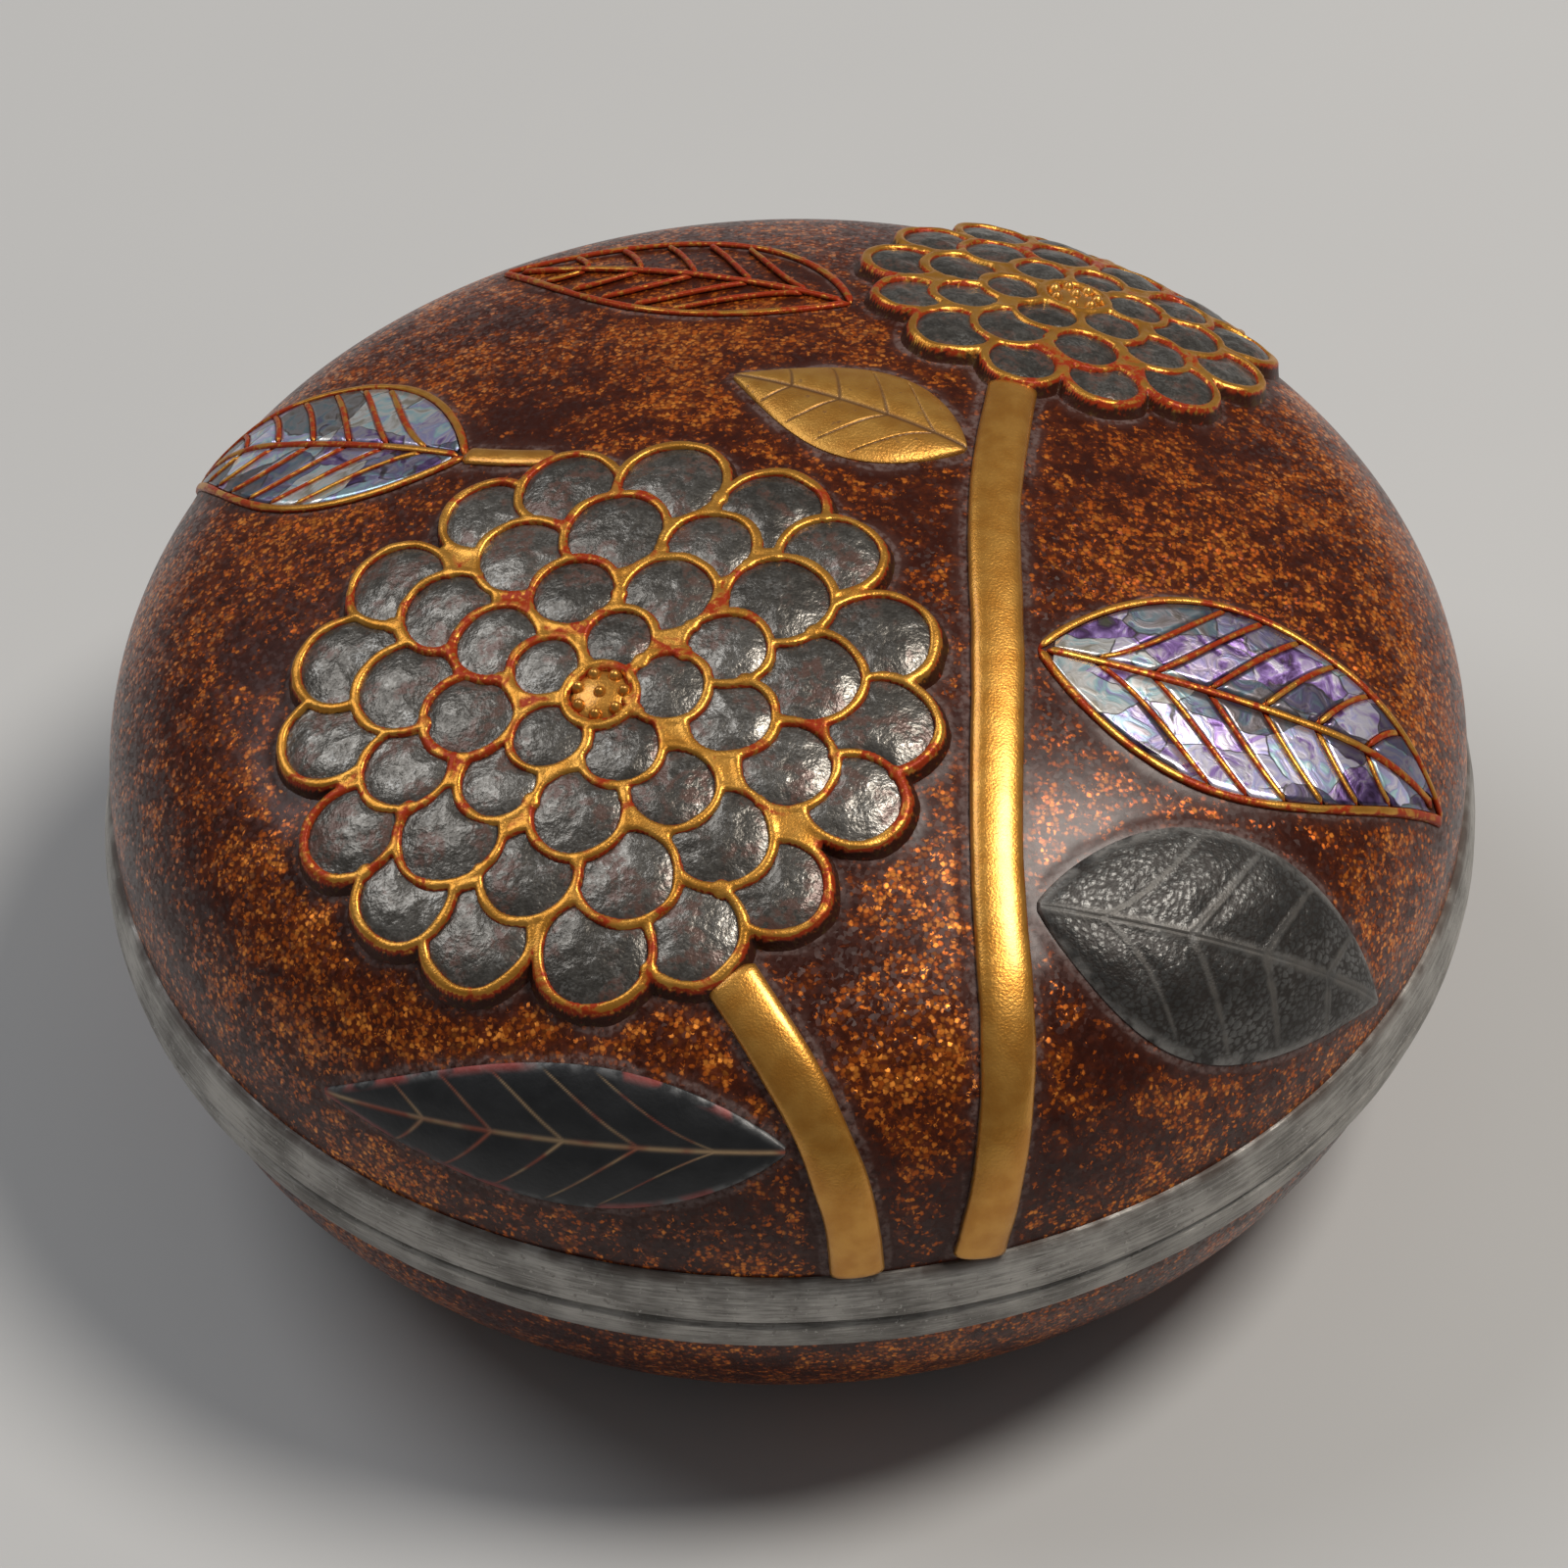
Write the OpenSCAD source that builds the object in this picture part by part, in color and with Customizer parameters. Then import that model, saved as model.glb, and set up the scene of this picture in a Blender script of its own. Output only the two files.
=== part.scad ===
// Round lacquer incense box: a domed lid that lifts off a shallow body, with metal rims at the seam
// and a raised flower spray of lead, shell and gold laid over the lid.
// Origin at the middle of the foot, on the table. +Z is up and -Y is the front.

/* [Box] */
// Outer diameter over the metal rims
rim_d = 76; // [66:1:100]
// Height of the seam above the table
body_h = 16; // [13:0.5:22]
// Height of the lid's crown above the seam
lid_h = 23.4; // [21:0.2:28]
// Wall of the turned lid and body
wall = 3.2; // [2.6:0.1:4]
// How far the body's wall stands inside the lid's wall
body_inset = 0.4; // [0:0.1:1]

/* [Profile] */
// Radius of the lid's rounded shoulder
shoulder_r = 12.5; // [10:0.5:14]
// Height above the seam where the lid is widest
waist_h = 5; // [4:0.5:7]
// Straight stretch of the body's wall under the seam, above its rounded side
belly_drop = 1; // [0.5:0.5:3]

/* [Rims] */
// How far the rims' bead stands out from the lid's wall
bead_out = 0.8; // [0.6:0.1:1.4]
// How far the rims' edges stand proud of the lacquer
rim_step = 0.15; // [0.05:0.05:0.3]
// Height of the lid's rim
lid_rim_h = 3; // [2.4:0.1:3.6]
// Height of the body's rim
body_rim_h = 2.7; // [2.4:0.1:3.6]
// Thickness of the rims' web, between the seam and the wood
rim_web = 1.2; // [0.8:0.1:1.6]
// Depth of the rebate that holds the rims' skirt
rim_seat = 0.8; // [0.6:0.1:1.2]
// Size of the chamfer on each side of the seam
seam_groove = 0.3; // [0.1:0.05:0.4]

/* [Standing lip] */
// Gap between the lip and the lid's bore
lip_clear = 0.25; // [0.15:0.05:0.4]
// Thickness of the lip
lip_t = 1.3; // [1:0.1:1.8]
// How far the lip stands above the seam
lip_rise = 4.5; // [3:0.5:6]
// How far the lip reaches below the seam
lip_depth = 6; // [4:0.5:8]
// Chamfer on the lip's upper edge
lip_lead = 0.5; // [0.2:0.1:0.6]

/* [Spray] */
// Height of the lead petals above the lacquer
petal_relief = 0.75; // [0.5:0.05:0.8]
// Height of the gold outlines round the petals
outline_relief = 0.95; // [0.85:0.05:1.1]
// Height of the gold hearts of the blooms
heart_relief = 1.25; // [1.15:0.05:1.4]
// Width of the gold outlines round the petals
outline_w = 0.6; // [0.4:0.05:0.8]
// Height of the shell plates
shell_relief = 0.2; // [0.15:0.05:0.3]
// Height of the gold veins and edges of the leaves
vein_relief = 0.4; // [0.3:0.05:0.5]
// Width of the gold veins
vein_w = 0.45; // [0.3:0.05:0.6]
// Height of a leaf or stem at its edge
edge_relief = 0.3; // [0.2:0.05:0.4]
// Height of the embossed lead leaf at its highest
lead_leaf_relief = 1.1; // [0.8:0.05:1.3]
// Height of the smooth lead leaf at its highest
dark_leaf_relief = 0.6; // [0.5:0.05:0.7]
// Height of the gold leaf at its highest
gold_leaf_relief = 0.7; // [0.5:0.05:0.9]
// Height of the gold stems
stem_relief = 0.7; // [0.5:0.05:0.75]
// Width of the gold stems
stem_w = 2.8; // [2:0.1:3.2]

/* [Fits] */
// Glue line under a metal rim or lip and round each inlaid piece
glue_gap = 0.05; // [0.03:0.01:0.1]

/* [Hidden] */
$fn = 96;

// Sides of the crown's wide circle
crown_sides = 480;

// Colours of the finishes
lacquer_colour = "#4a1c0c";
rim_colour = "#77756f";
lip_colour = "#1c1412";
lead_colour = "#4b4b4a";
dark_lead_colour = "#2c2d2f";
gold_colour = "#b8862f";
shell_colour = "#cfc8de";

// Main radii and heights
rim_r = rim_d / 2;
lid_r = rim_r - bead_out;
body_r = lid_r - body_inset;
lid_bore = lid_r - wall;
lip_r = lid_bore - lip_clear;
lip_bore = lip_r - lip_t;
seam_z = body_h;
waist_z = seam_z + waist_h;
top_z = seam_z + lid_h;
belly_r = body_h - belly_drop;
past = 1;

// The lid's crown is a sphere that runs smoothly into the round shoulder.
shoulder_x = lid_r - shoulder_r;
crown_rise = lid_h - waist_h - shoulder_r;
crown_z = waist_z + (pow(crown_rise, 2) - pow(shoulder_x, 2)) / (2 * crown_rise);
crown_r = top_z - crown_z;
crown_angle = asin(shoulder_x / (crown_r - shoulder_r));
crown_arc = crown_r * crown_angle * PI / 180;
waist_arc = crown_arc + shoulder_r * (90 - crown_angle) * PI / 180;

// The spray is drawn in millimetres of arc from the crown, right and back, on a field of this
// radius, and is fitted to the lid's own arc.
field_arc = 45.26;
fit = waist_arc / field_arc;

// The stems' feet stop this far above the lid's rim, at this radius on the field.
foot_gap = 0.35;
foot_arc = (waist_arc + waist_h - lid_rim_h - foot_gap) / fit;

// Rings of a bloom, inside first: number of petals, radius of the ring, radius of a petal
main_rings = [[5, 3.5, 2.4], [9, 6.9, 2.75], [13, 10.6, 3], [17, 14.4, 3.1]];
back_rings = [[6, 3.5, 2.1], [10, 6.5, 2.4], [13, 9.6, 2.5]];
main_heart_r = 1.9;
back_heart_r = 1.9;
stamen_r = 0.45;
stamen_count = 7;
stamen_inset = 0.6;

// Places on the field: middle of a bloom, root and tip of a leaf, angle of a stem's foot round the
// lid and points along the stem
main_bloom_at = [-9.5, -14];
back_bloom_at = [17, 20];
right_leaf = [[13.2, -11], [38, -14]];
left_leaf = [[-17, 5.5], [-36, 17]];
back_leaf = [[4.2, 17.5], [-16, 28]];
embossed_leaf = [[13.2, -26.5], [35.2, -27.2]];
smooth_leaf = [[-2.2, -40], [-27, -34]];
small_gold_leaf = [[10, 3], [-2.5, 9.5]];
right_leaf_w = 12.5;
left_leaf_w = 11;
back_leaf_w = 10.5;
embossed_leaf_w = 12;
smooth_leaf_w = 7.6;
small_gold_leaf_w = 8;
main_stem_foot = -85.8;
main_stem_path = [[2.6, -42], [0.4, -36.5], [-3, -30.9]];
branch_stem_foot = -76.2;
branch_stem_path = [[11.2, -36], [10.6, -24], [11, -12], [11.3, -1], [12.6, 8.4]];
leaf_stalk_path = [[-12.6, 3.9], [-14.6, 4.5], [-16.7, 5.35]];
leaf_stalk_w = 1.3;
shell_veins = 6;
back_veins = 5;

// Sampling of the lofted leaves and stems
leaf_rows = 34;
leaf_columns = 12;
main_stem_rings = 18;
branch_stem_rings = 46;
leaf_stalk_rings = 5;
stem_probe = 0.01;
slide_steps = 6;
plate_rows = 4;
plate_columns = 3;
edge_rings = 20;
midrib_rings = 11;
vein_rings = 4;

// Shape of a leaf: where it is broadest, how far its veins lean to the tip, and its vein grooves
leaf_fullness = 0.8;
vein_lean = 0.3;
first_plate = 0.07;
first_vein = 0.13;
last_vein = 0.74;
last_plate = 0.88;
groove_depth = 0.22;
groove_w = 0.8;
vein_groove_depth = 0.2;
vein_groove_w = 0.7;
grooved_veins = 4;
blunt_half = 0.2;

// Half width of a leaf where its midrib ends, in vein widths
midrib_room = 2;

// Sections of a stem and of a gold line, anticlockwise from the left edge's foot seen along the
// path: share of the half width, share of the height
stem_section = [
    [1, 0], [1, 0.4], [0.8, 0.78], [0.35, 1], [-0.35, 1], [-0.8, 0.78], [-1, 0.4], [-1, 0], [0, 0]
];
line_section = [[1, 0], [1, 0.5], [0.5, 1], [-0.5, 1], [-1, 0.5], [-1, 0]];

// Radius of the ball that crowns a petal
petal_crown_r = 13;

// Small differences between the petals of a ring
petal_sway = 2;
sway_step = 97;
petal_vary = 0.06;
vary_step = 71;

// Reach of a drawing's sides below and above its own plane
reach_down = 8;
reach_up = 3;

// Half sections

// The dome's outer section, grown outwards by a distance, down to the seam
module dome_section(grow) {
    joint_x = (crown_r + grow) * sin(crown_angle);
    intersection() {
        translate([0, crown_z]) circle(crown_r + grow, $fn = crown_sides);
        translate([0, seam_z]) square([joint_x, lid_h + past]);
    }
    intersection() {
        translate([shoulder_x, waist_z]) circle(shoulder_r + grow);
        translate([joint_x, waist_z]) square([rim_r, lid_h]);
    }
    translate([joint_x, seam_z]) square([lid_r + grow - joint_x, waist_h]);
}

// The body's outer section, shrunk inwards by a distance
module body_section(shrink) {
    side = belly_r - shrink;
    foot_x = body_r - belly_r;
    translate([0, shrink]) square([foot_x, seam_z - shrink]);
    intersection() {
        translate([foot_x, belly_r]) circle(side);
        translate([foot_x, 0]) square([belly_r, belly_r]);
    }
    translate([foot_x, belly_r]) square([side, seam_z - belly_r]);
}

// A rim's bead: an arc from the seam to an edge that stands just proud of the wall
module bead_section(wall_r, bore_r, height) {
    bulge = rim_r - wall_r - rim_step;
    bead_r = (pow(bulge, 2) + pow(height, 2)) / (2 * bulge);
    difference() {
        intersection() {
            translate([rim_r - bead_r, 0]) circle(bead_r);
            translate([bore_r, 0]) square([rim_r - bore_r, height]);
        }
        translate([bore_r - past, rim_web])
            square([wall_r - rim_seat + glue_gap - bore_r + past, height]);
        polygon([
            [rim_r - seam_groove, 0],
            [rim_r + past, -past],
            [rim_r + past, seam_groove + past]
        ]);
    }
}

// A shell over the dome that a drawing cuts its pieces from
module relief_shell(relief) {
    rotate_extrude() difference() {
        dome_section(relief);
        dome_section(glue_gap);
    }
}

// Points on the dome

function tilt_at(arc) =
    arc < crown_arc ? arc / crown_r * 180 / PI
    : min(90, crown_angle + (arc - crown_arc) / shoulder_r * 180 / PI);

function dome_r(tilt, h) =
    tilt < crown_angle ? (crown_r + h) * sin(tilt) : shoulder_x + (shoulder_r + h) * sin(tilt);

function dome_z(tilt, h) =
    tilt < crown_angle ? crown_z + (crown_r + h) * cos(tilt) : waist_z + (shoulder_r + h) * cos(tilt);

function turned(r, angle, z) = [r * cos(angle), r * sin(angle), z];

// The point over a place on the field, below the waist too
function field_point(place, h) =
    let (arc = norm(place) * fit, tilt = tilt_at(arc), under = max(0, arc - waist_arc))
    turned(dome_r(tilt, h), atan2(place.y, place.x), dome_z(tilt, h) - under);

// Direction straight out of the dome at a point near it
function dome_normal(p) =
    let (
        r = norm([p.x, p.y]),
        from_crown = atan2(r, p.z - crown_z),
        tilt = from_crown < crown_angle ? from_crown : min(90, atan2(r - shoulder_x, p.z - waist_z))
    )
    turned(sin(tilt), atan2(p.y, p.x), cos(tilt));

// Height of a point above the dome
function dome_height(p) =
    let (r = norm([p.x, p.y]))
    p.z < waist_z ? r - lid_r
    : atan2(r, p.z - crown_z) < crown_angle ? norm([r, p.z - crown_z]) - crown_r
    : norm([r - shoulder_x, p.z - waist_z]) - shoulder_r;

// Slides a point along a direction until it lies at a height above the dome
function dropped(p, along, h, steps = slide_steps) =
    steps == 0 ? p
    : dropped(p - along * (dome_height(p) - h) / (along * dome_normal(p)), along, h, steps - 1);

// A drawing's plane: it touches the dome at a place on the field, with +x along a heading
function plane_x(place, heading) =
    let (a = atan2(place.y, place.x), t = tilt_at(norm(place) * fit), h = heading - a)
    [
        cos(h) * cos(t) * cos(a) - sin(h) * sin(a),
        cos(h) * cos(t) * sin(a) + sin(h) * cos(a),
        -cos(h) * sin(t)
    ];
function plane_point(place, heading, x, y, h) =
    let (
        middle = field_point(place, 0),
        out = dome_normal(middle),
        along = plane_x(place, heading),
        across = cross(out, along)
    )
    dropped(middle + along * x + across * y, out, h);

module on_plane(place, heading) {
    azimuth = atan2(place.y, place.x);
    tilt = tilt_at(norm(place) * fit);
    rotate([0, 0, azimuth])
        translate([dome_r(tilt, 0), 0, dome_z(tilt, 0)])
            rotate([0, tilt, 0])
                rotate([0, 0, heading - azimuth])
                    children();
}

// A flat drawing laid over the dome as a piece of even height
module laid(place, heading, relief) {
    intersection() {
        relief_shell(relief);
        on_plane(place, heading)
            translate([0, 0, -reach_down])
                linear_extrude(reach_down + reach_up)
                    children();
    }
}

// Blooms: rings of round petals, each tucked under the rings inside it and under the petal before it

// Middle and radius of a petal
function petal(rings, ring, i) =
    let (
        count = rings[ring][0],
        angle = (i + ring / 2) * 360 / count + petal_sway * sin(sway_step * (i + 1) * (ring + 2)),
        size = 1 + petal_vary * sin(vary_step * (i + 2) * (ring + 1))
    )
    [rings[ring][1] * cos(angle), rings[ring][1] * sin(angle), rings[ring][2] * size] * fit;

function ring_petals(rings, ring) = [for (i = [0 : rings[ring][0] - 1]) petal(rings, ring, i)];

function petals_inside(rings, ring) = [
    for (inner = [0 : 1 : ring - 1])
        each ring_petals(rings, inner)
];

function neighbours_over(rings, ring, i) =
    let (last = rings[ring][0] - 1)
    concat(
        i > 0 ? [petal(rings, ring, i - 1)] : [],
        i == last ? [petal(rings, ring, 0)] : []
    );

// What lies over a petal and reaches it
function covers(rings, heart_r, ring, i) =
    let (
        own = petal(rings, ring, i),
        over = concat([[0, 0, heart_r * fit]], petals_inside(rings, ring), neighbours_over(rings, ring, i))
    )
    [for (c = over) if (norm([c.x - own.x, c.y - own.y]) < c.z + own.z) c];

module disc(petal, grow) {
    translate([petal.x, petal.y]) circle(petal.z + grow);
}

// The part of a petal that shows inside its outline
module petal_cell(rings, heart_r, ring, i, gap) {
    difference() {
        disc(petal(rings, ring, i), -outline_w - gap);
        for (c = covers(rings, heart_r, ring, i)) {
            disc(c, gap);
        }
    }
}

// A ball whose top stands over the middle of a petal, to crown it
module petal_crown(place, petal) {
    top = plane_point(place, 0, petal.x, petal.y, petal_relief);
    translate(top - dome_normal(top) * petal_crown_r)
        sphere(petal_crown_r);
}

module petal_ring(place, rings, heart_r, ring) {
    for (i = [0 : rings[ring][0] - 1]) {
        intersection() {
            laid(place, 0, outline_relief) petal_cell(rings, heart_r, ring, i, glue_gap);
            petal_crown(place, petal(rings, ring, i));
        }
    }
}

// The gold net between the petals
module petal_outline(place, rings, heart_r) {
    last = len(rings) - 1;
    laid(place, 0, outline_relief)
        difference() {
            union() {
                circle(rings[last][1] * fit);
                for (p = ring_petals(rings, last)) {
                    disc(p, 0);
                }
            }
            for (ring = [0 : last], i = [0 : rings[ring][0] - 1]) {
                petal_cell(rings, heart_r, ring, i, 0);
            }
            circle(heart_r * fit);
        }
}

// A gold boss with a ring of stamens round a middle one
module bloom_heart(place, heart_r) {
    boss_r = heart_r * fit - glue_gap;
    laid(place, 0, outline_relief) circle(boss_r);
    laid(place, 0, heart_relief) {
        circle(stamen_r);
        for (i = [0 : stamen_count - 1]) {
            rotate(i * 360 / stamen_count)
                translate([boss_r - stamen_inset, 0])
                    circle(stamen_r);
        }
    }
}

// Leaves: drawn along x from the root to the tip, with the middle at the origin

function leaf_middle(leaf) = (leaf[0] + leaf[1]) / 2;
function leaf_heading(leaf) = atan2(leaf[1].y - leaf[0].y, leaf[1].x - leaf[0].x);
function leaf_length(leaf) = norm(leaf[1] - leaf[0]) * fit;

// Half width of a leaf at a share of its length
function leaf_half(share, width) = width / 2 * sin(180 * pow(share, leaf_fullness));

// How much wider a band along a leaf's edge is across the leaf than across itself
function edge_stretch(share, length, width) =
    let (
        turn = 180 * pow(share, leaf_fullness),
        slope = width / 2 * cos(turn) * PI * leaf_fullness * pow(share, leaf_fullness - 1) / length
    )
    norm([1, slope]);

// Share of the length at which a leaf has a half width, near its root or near its tip
function root_share(half, width) = pow(asin(2 * half / width) / 180, 1 / leaf_fullness);
function tip_share(half, width) = pow(1 - asin(2 * half / width) / 180, 1 / leaf_fullness);

// Lofts: rings of points over the dome, each a closed loop with its underside on the glue line

// Points of a ring in turn from its two halves, and the triangles across it that they make
function zigzag(i, sides) = i % 2 == 0 ? i / 2 : sides - (i + 1) / 2;
function end_faces(first, sides, turn) = [
    for (i = [0 : sides - 3])
        let (a = zigzag(i, sides), b = zigzag(i + 1, sides), c = zigzag(i + 2, sides))
        (i + turn) % 2 == 0 ? [first + a, first + b, first + c] : [first + a, first + c, first + b]
];

function ring_faces(rings, sides) = concat(
    [for (r = [0 : rings - 2], s = [0 : sides - 1]) [
        r * sides + s, r * sides + (s + 1) % sides, (r + 1) * sides + s
    ]],
    [for (r = [0 : rings - 2], s = [0 : sides - 1]) [
        r * sides + (s + 1) % sides, (r + 1) * sides + (s + 1) % sides, (r + 1) * sides + s
    ]],
    end_faces(0, sides, 0),
    end_faces((rings - 1) * sides, sides, 1)
);

module loft(rings) {
    polyhedron([for (r = rings) each r], ring_faces(len(rings), len(rings[0])));
}

// A point over a leaf's drawing
function leaf_point(leaf, x, y, h) = plane_point(leaf_middle(leaf), leaf_heading(leaf), x, y, h);

// Shell plates between the veins

// Where the veins leave the midrib, as shares of the length, with the ends of the plates
function vein_starts(count) = concat(
    first_plate,
    [for (i = [0 : count - 1]) first_vein + (last_vein - first_vein) * i / (count - 1)],
    last_plate
);

// A point on a line that leans from the midrib to the leaf's edge, clear of the gold at both ends
function leaning_point(length, width, start, out, side, lean = vein_lean) =
    let (
        share = start + lean * out * (1 - start),
        inner = vein_w / 2 + glue_gap,
        gold = vein_w / 2 + (vein_w / 2 + glue_gap) * edge_stretch(share, length, width),
        outer = leaf_half(share, width) - gold
    )
    [(share - 0.5) * length, side * (inner + (outer - inner) * out)];

// Share of the midrib that half a leaning line takes up
function leaning_half(length, width, start, half) =
    let (way = leaning_point(length, width, start, 1, 1) - leaning_point(length, width, start, 0, 1))
    half * norm(way) / way.y / length;

// One ring across a plate, over and back under; its first side may lean less than the veins
function plate_ring(leaf, width, from, to, from_lean, side, out) =
    let (
        length = leaf_length(leaf),
        room = vein_w / 2 + glue_gap,
        low = from + leaning_half(length, width, from, room),
        high = to - leaning_half(length, width, to, room),
        points = [
            for (i = [0 : plate_columns])
                let (
                    step = (side < 0 ? i : plate_columns - i) / plate_columns,
                    lean = from_lean + (vein_lean - from_lean) * step
                )
                leaning_point(length, width, low + (high - low) * step, out, side, lean)
        ]
    )
    concat(
        [for (p = points) leaf_point(leaf, p.x, p.y, shell_relief)],
        [for (i = [plate_columns : -1 : 0]) leaf_point(leaf, points[i].x, points[i].y, glue_gap)]
    );

module leaf_plates(leaf, width, veins) {
    starts = vein_starts(veins);
    for (i = [0 : veins], side = [-1, 1]) {
        from_lean = i == 0 ? 0 : vein_lean;
        loft([
            for (row = [0 : plate_rows])
                plate_ring(leaf, width * fit, starts[i], starts[i + 1], from_lean, side, row / plate_rows)
        ]);
    }
}

// Gold lines of a leaf: two edges, a midrib and side veins, each a rounded ridge

function path_side(path, i) =
    let (way = path[min(i + 1, len(path) - 1)] - path[max(i - 1, 0)])
    [-way.y, way.x] / norm(way);

function line_height(share) = glue_gap + (vein_relief - glue_gap) * share;

function line_ring(leaf, path, i) = [
    for (s = line_section)
        let (p = path[i] + path_side(path, i) * s[0] * vein_w / 2)
        leaf_point(leaf, p.x, p.y, line_height(s[1]))
];

module leaf_line(leaf, path) {
    loft([for (i = [0 : len(path) - 1]) line_ring(leaf, path, i)]);
}

function edge_path(length, width, side) =
    let (
        tightest = vein_w + glue_gap,
        from = root_share(tightest, width),
        to = tip_share(tightest, width)
    )
    [for (i = [0 : edge_rings])
        let (share = from + (to - from) * i / edge_rings)
        [(share - 0.5) * length, side * (leaf_half(share, width) - vein_w / 2)]];

function midrib_path(length, width) =
    let (
        tightest = midrib_room * vein_w,
        from = root_share(tightest, width),
        to = tip_share(tightest, width)
    )
    [for (i = [0 : midrib_rings]) [(from + (to - from) * i / midrib_rings - 0.5) * length, 0]];

// One ring of a side vein, along the midrib at its inner end and along the edge at its outer end
function vein_ring(leaf, width, start, side, out) =
    let (
        length = leaf_length(leaf),
        half = leaning_half(length, width, start, vein_w / 2)
    )
    [for (s = line_section)
        let (p = leaning_point(length, width, start - side * s[0] * half, out, side))
        leaf_point(leaf, p.x, p.y, line_height(s[1]))];

module side_vein(leaf, width, start, side) {
    loft([for (i = [0 : vein_rings]) vein_ring(leaf, width, start, side, i / vein_rings)]);
}

module leaf_gold(leaf, width, veins) {
    length = leaf_length(leaf);
    broad = width * fit;
    starts = vein_starts(veins);
    leaf_line(leaf, midrib_path(length, broad));
    for (side = [-1, 1]) {
        leaf_line(leaf, edge_path(length, broad, side));
        for (i = [1 : veins]) {
            side_vein(leaf, broad, starts[i], side);
        }
    }
}

// Whole leaves

// How deep a place lies in the grooves of the side veins, from 0 to 1
function vein_groove(share, across, length) =
    let (
        lean = vein_lean * abs(across),
        start = (share - lean) / (1 - lean),
        starts = vein_starts(grooved_veins)
    )
    max([for (i = [1 : grooved_veins]) exp(-pow((start - starts[i]) * length / vein_groove_w, 2))]);

// Height of a leaf's face: crowned across, with grooves along the midrib and the side veins
function leaf_face(share, across, length, width, crown) =
    let (
        swell = (1 - across * across) * sqrt(leaf_half(share, 2)),
        midrib = groove_depth * exp(-pow(across * leaf_half(share, width) / groove_w, 2)),
        groove = max(midrib, vein_groove_depth * vein_groove(share, across, length))
    )
    edge_relief + (crown - edge_relief - groove) * swell;

function leaf_ring(leaf, width, crown, share) =
    let (
        half = leaf_half(share, width),
        length = leaf_length(leaf),
        x = (share - 0.5) * length
    )
    concat(
        [for (i = [0 : leaf_columns])
            let (across = 2 * i / leaf_columns - 1)
            leaf_point(leaf, x, across * half, leaf_face(share, across, length, width, crown))],
        [for (i = [leaf_columns : -1 : 0])
            leaf_point(leaf, x, (2 * i / leaf_columns - 1) * half, glue_gap)]
    );

module lofted_leaf(leaf, width, crown) {
    broad = width * fit;
    from = root_share(blunt_half, broad);
    to = tip_share(blunt_half, broad);
    loft([
        for (r = [0 : leaf_rows])
            leaf_ring(leaf, broad, crown, from + (to - from) * r / leaf_rows)
    ]);
}

// Stems

// A path that starts at the rim, at an angle round the lid
function from_foot(angle, path) = concat([[cos(angle), sin(angle)] * foot_arc], path);

// A smooth curve through a path's points
function smooth_between(a, b, c, d, t) =
    0.5 * (
        2 * b + (c - a) * t
        + (2 * a - 5 * b + 4 * c - d) * t * t
        + (3 * b - a - 3 * c + d) * t * t * t
    );

function smooth_point(path, share) =
    let (
        spans = len(path) - 1,
        span = min(floor(share * spans), spans - 1)
    )
    smooth_between(
        path[max(span - 1, 0)], path[span], path[span + 1], path[min(span + 2, spans)],
        share * spans - span
    );

// Moves a point straight out of the dome to a height above it
function seated(p, h) = p + dome_normal(p) * (h - dome_height(p));

function stem_ring(path, width, relief, share) =
    let (
        middle = field_point(smooth_point(path, share), 0),
        behind = field_point(smooth_point(path, max(share - stem_probe, 0)), 0),
        ahead = field_point(smooth_point(path, min(share + stem_probe, 1)), 0),
        across = cross(dome_normal(middle), ahead - behind),
        side = across / norm(across) * width / 2
    )
    [for (s = stem_section) seated(middle + side * s[0], glue_gap + (relief - glue_gap) * s[1])];

module lofted_stem(path, width, relief, rings) {
    loft([for (r = [0 : rings]) stem_ring(path, width, relief, r / rings)]);
}

// The turned box

module body_shell() {
    color(lacquer_colour)
        rotate_extrude()
            difference() {
                body_section(0);
                intersection() {
                    body_section(wall);
                    square([lip_bore, seam_z]);
                }
                translate([0, seam_z - lip_depth])
                    square([lip_r + glue_gap, lip_depth + past]);
                translate([0, seam_z - rim_web])
                    square([rim_r, rim_web + past]);
                translate([body_r - rim_seat, seam_z - body_rim_h])
                    square([rim_r, body_rim_h]);
            }
}

module body_rim() {
    color(rim_colour)
        rotate_extrude()
            translate([0, seam_z])
                mirror([0, 1])
                    bead_section(body_r, lip_r + glue_gap, body_rim_h);
}

module standing_lip() {
    color(lip_colour)
        rotate_extrude()
            translate([0, seam_z - lip_depth])
                difference() {
                    translate([lip_bore, 0])
                        square([lip_t, lip_depth + lip_rise]);
                    translate([lip_r, lip_depth + lip_rise])
                        rotate(45)
                            square(lip_lead * sqrt(2), center = true);
                }
}

module lid_shell() {
    color(lacquer_colour)
        rotate_extrude()
            difference() {
                dome_section(0);
                dome_section(-wall);
                translate([0, seam_z - past])
                    square([rim_r, rim_web + past]);
                translate([lid_r - rim_seat, seam_z])
                    square([rim_r, lid_rim_h]);
            }
}

module lid_rim() {
    color(rim_colour)
        rotate_extrude()
            translate([0, seam_z])
                bead_section(lid_r, lid_bore, lid_rim_h);
}

// The spray

module main_bloom_core_petals() {
    color(lead_colour) petal_ring(main_bloom_at, main_rings, main_heart_r, 0);
}

module main_bloom_inner_petals() {
    color(lead_colour) petal_ring(main_bloom_at, main_rings, main_heart_r, 1);
}

module main_bloom_middle_petals() {
    color(lead_colour) petal_ring(main_bloom_at, main_rings, main_heart_r, 2);
}

module main_bloom_outer_petals() {
    color(lead_colour) petal_ring(main_bloom_at, main_rings, main_heart_r, 3);
}

module main_bloom_outline() {
    color(gold_colour) petal_outline(main_bloom_at, main_rings, main_heart_r);
}

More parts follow.
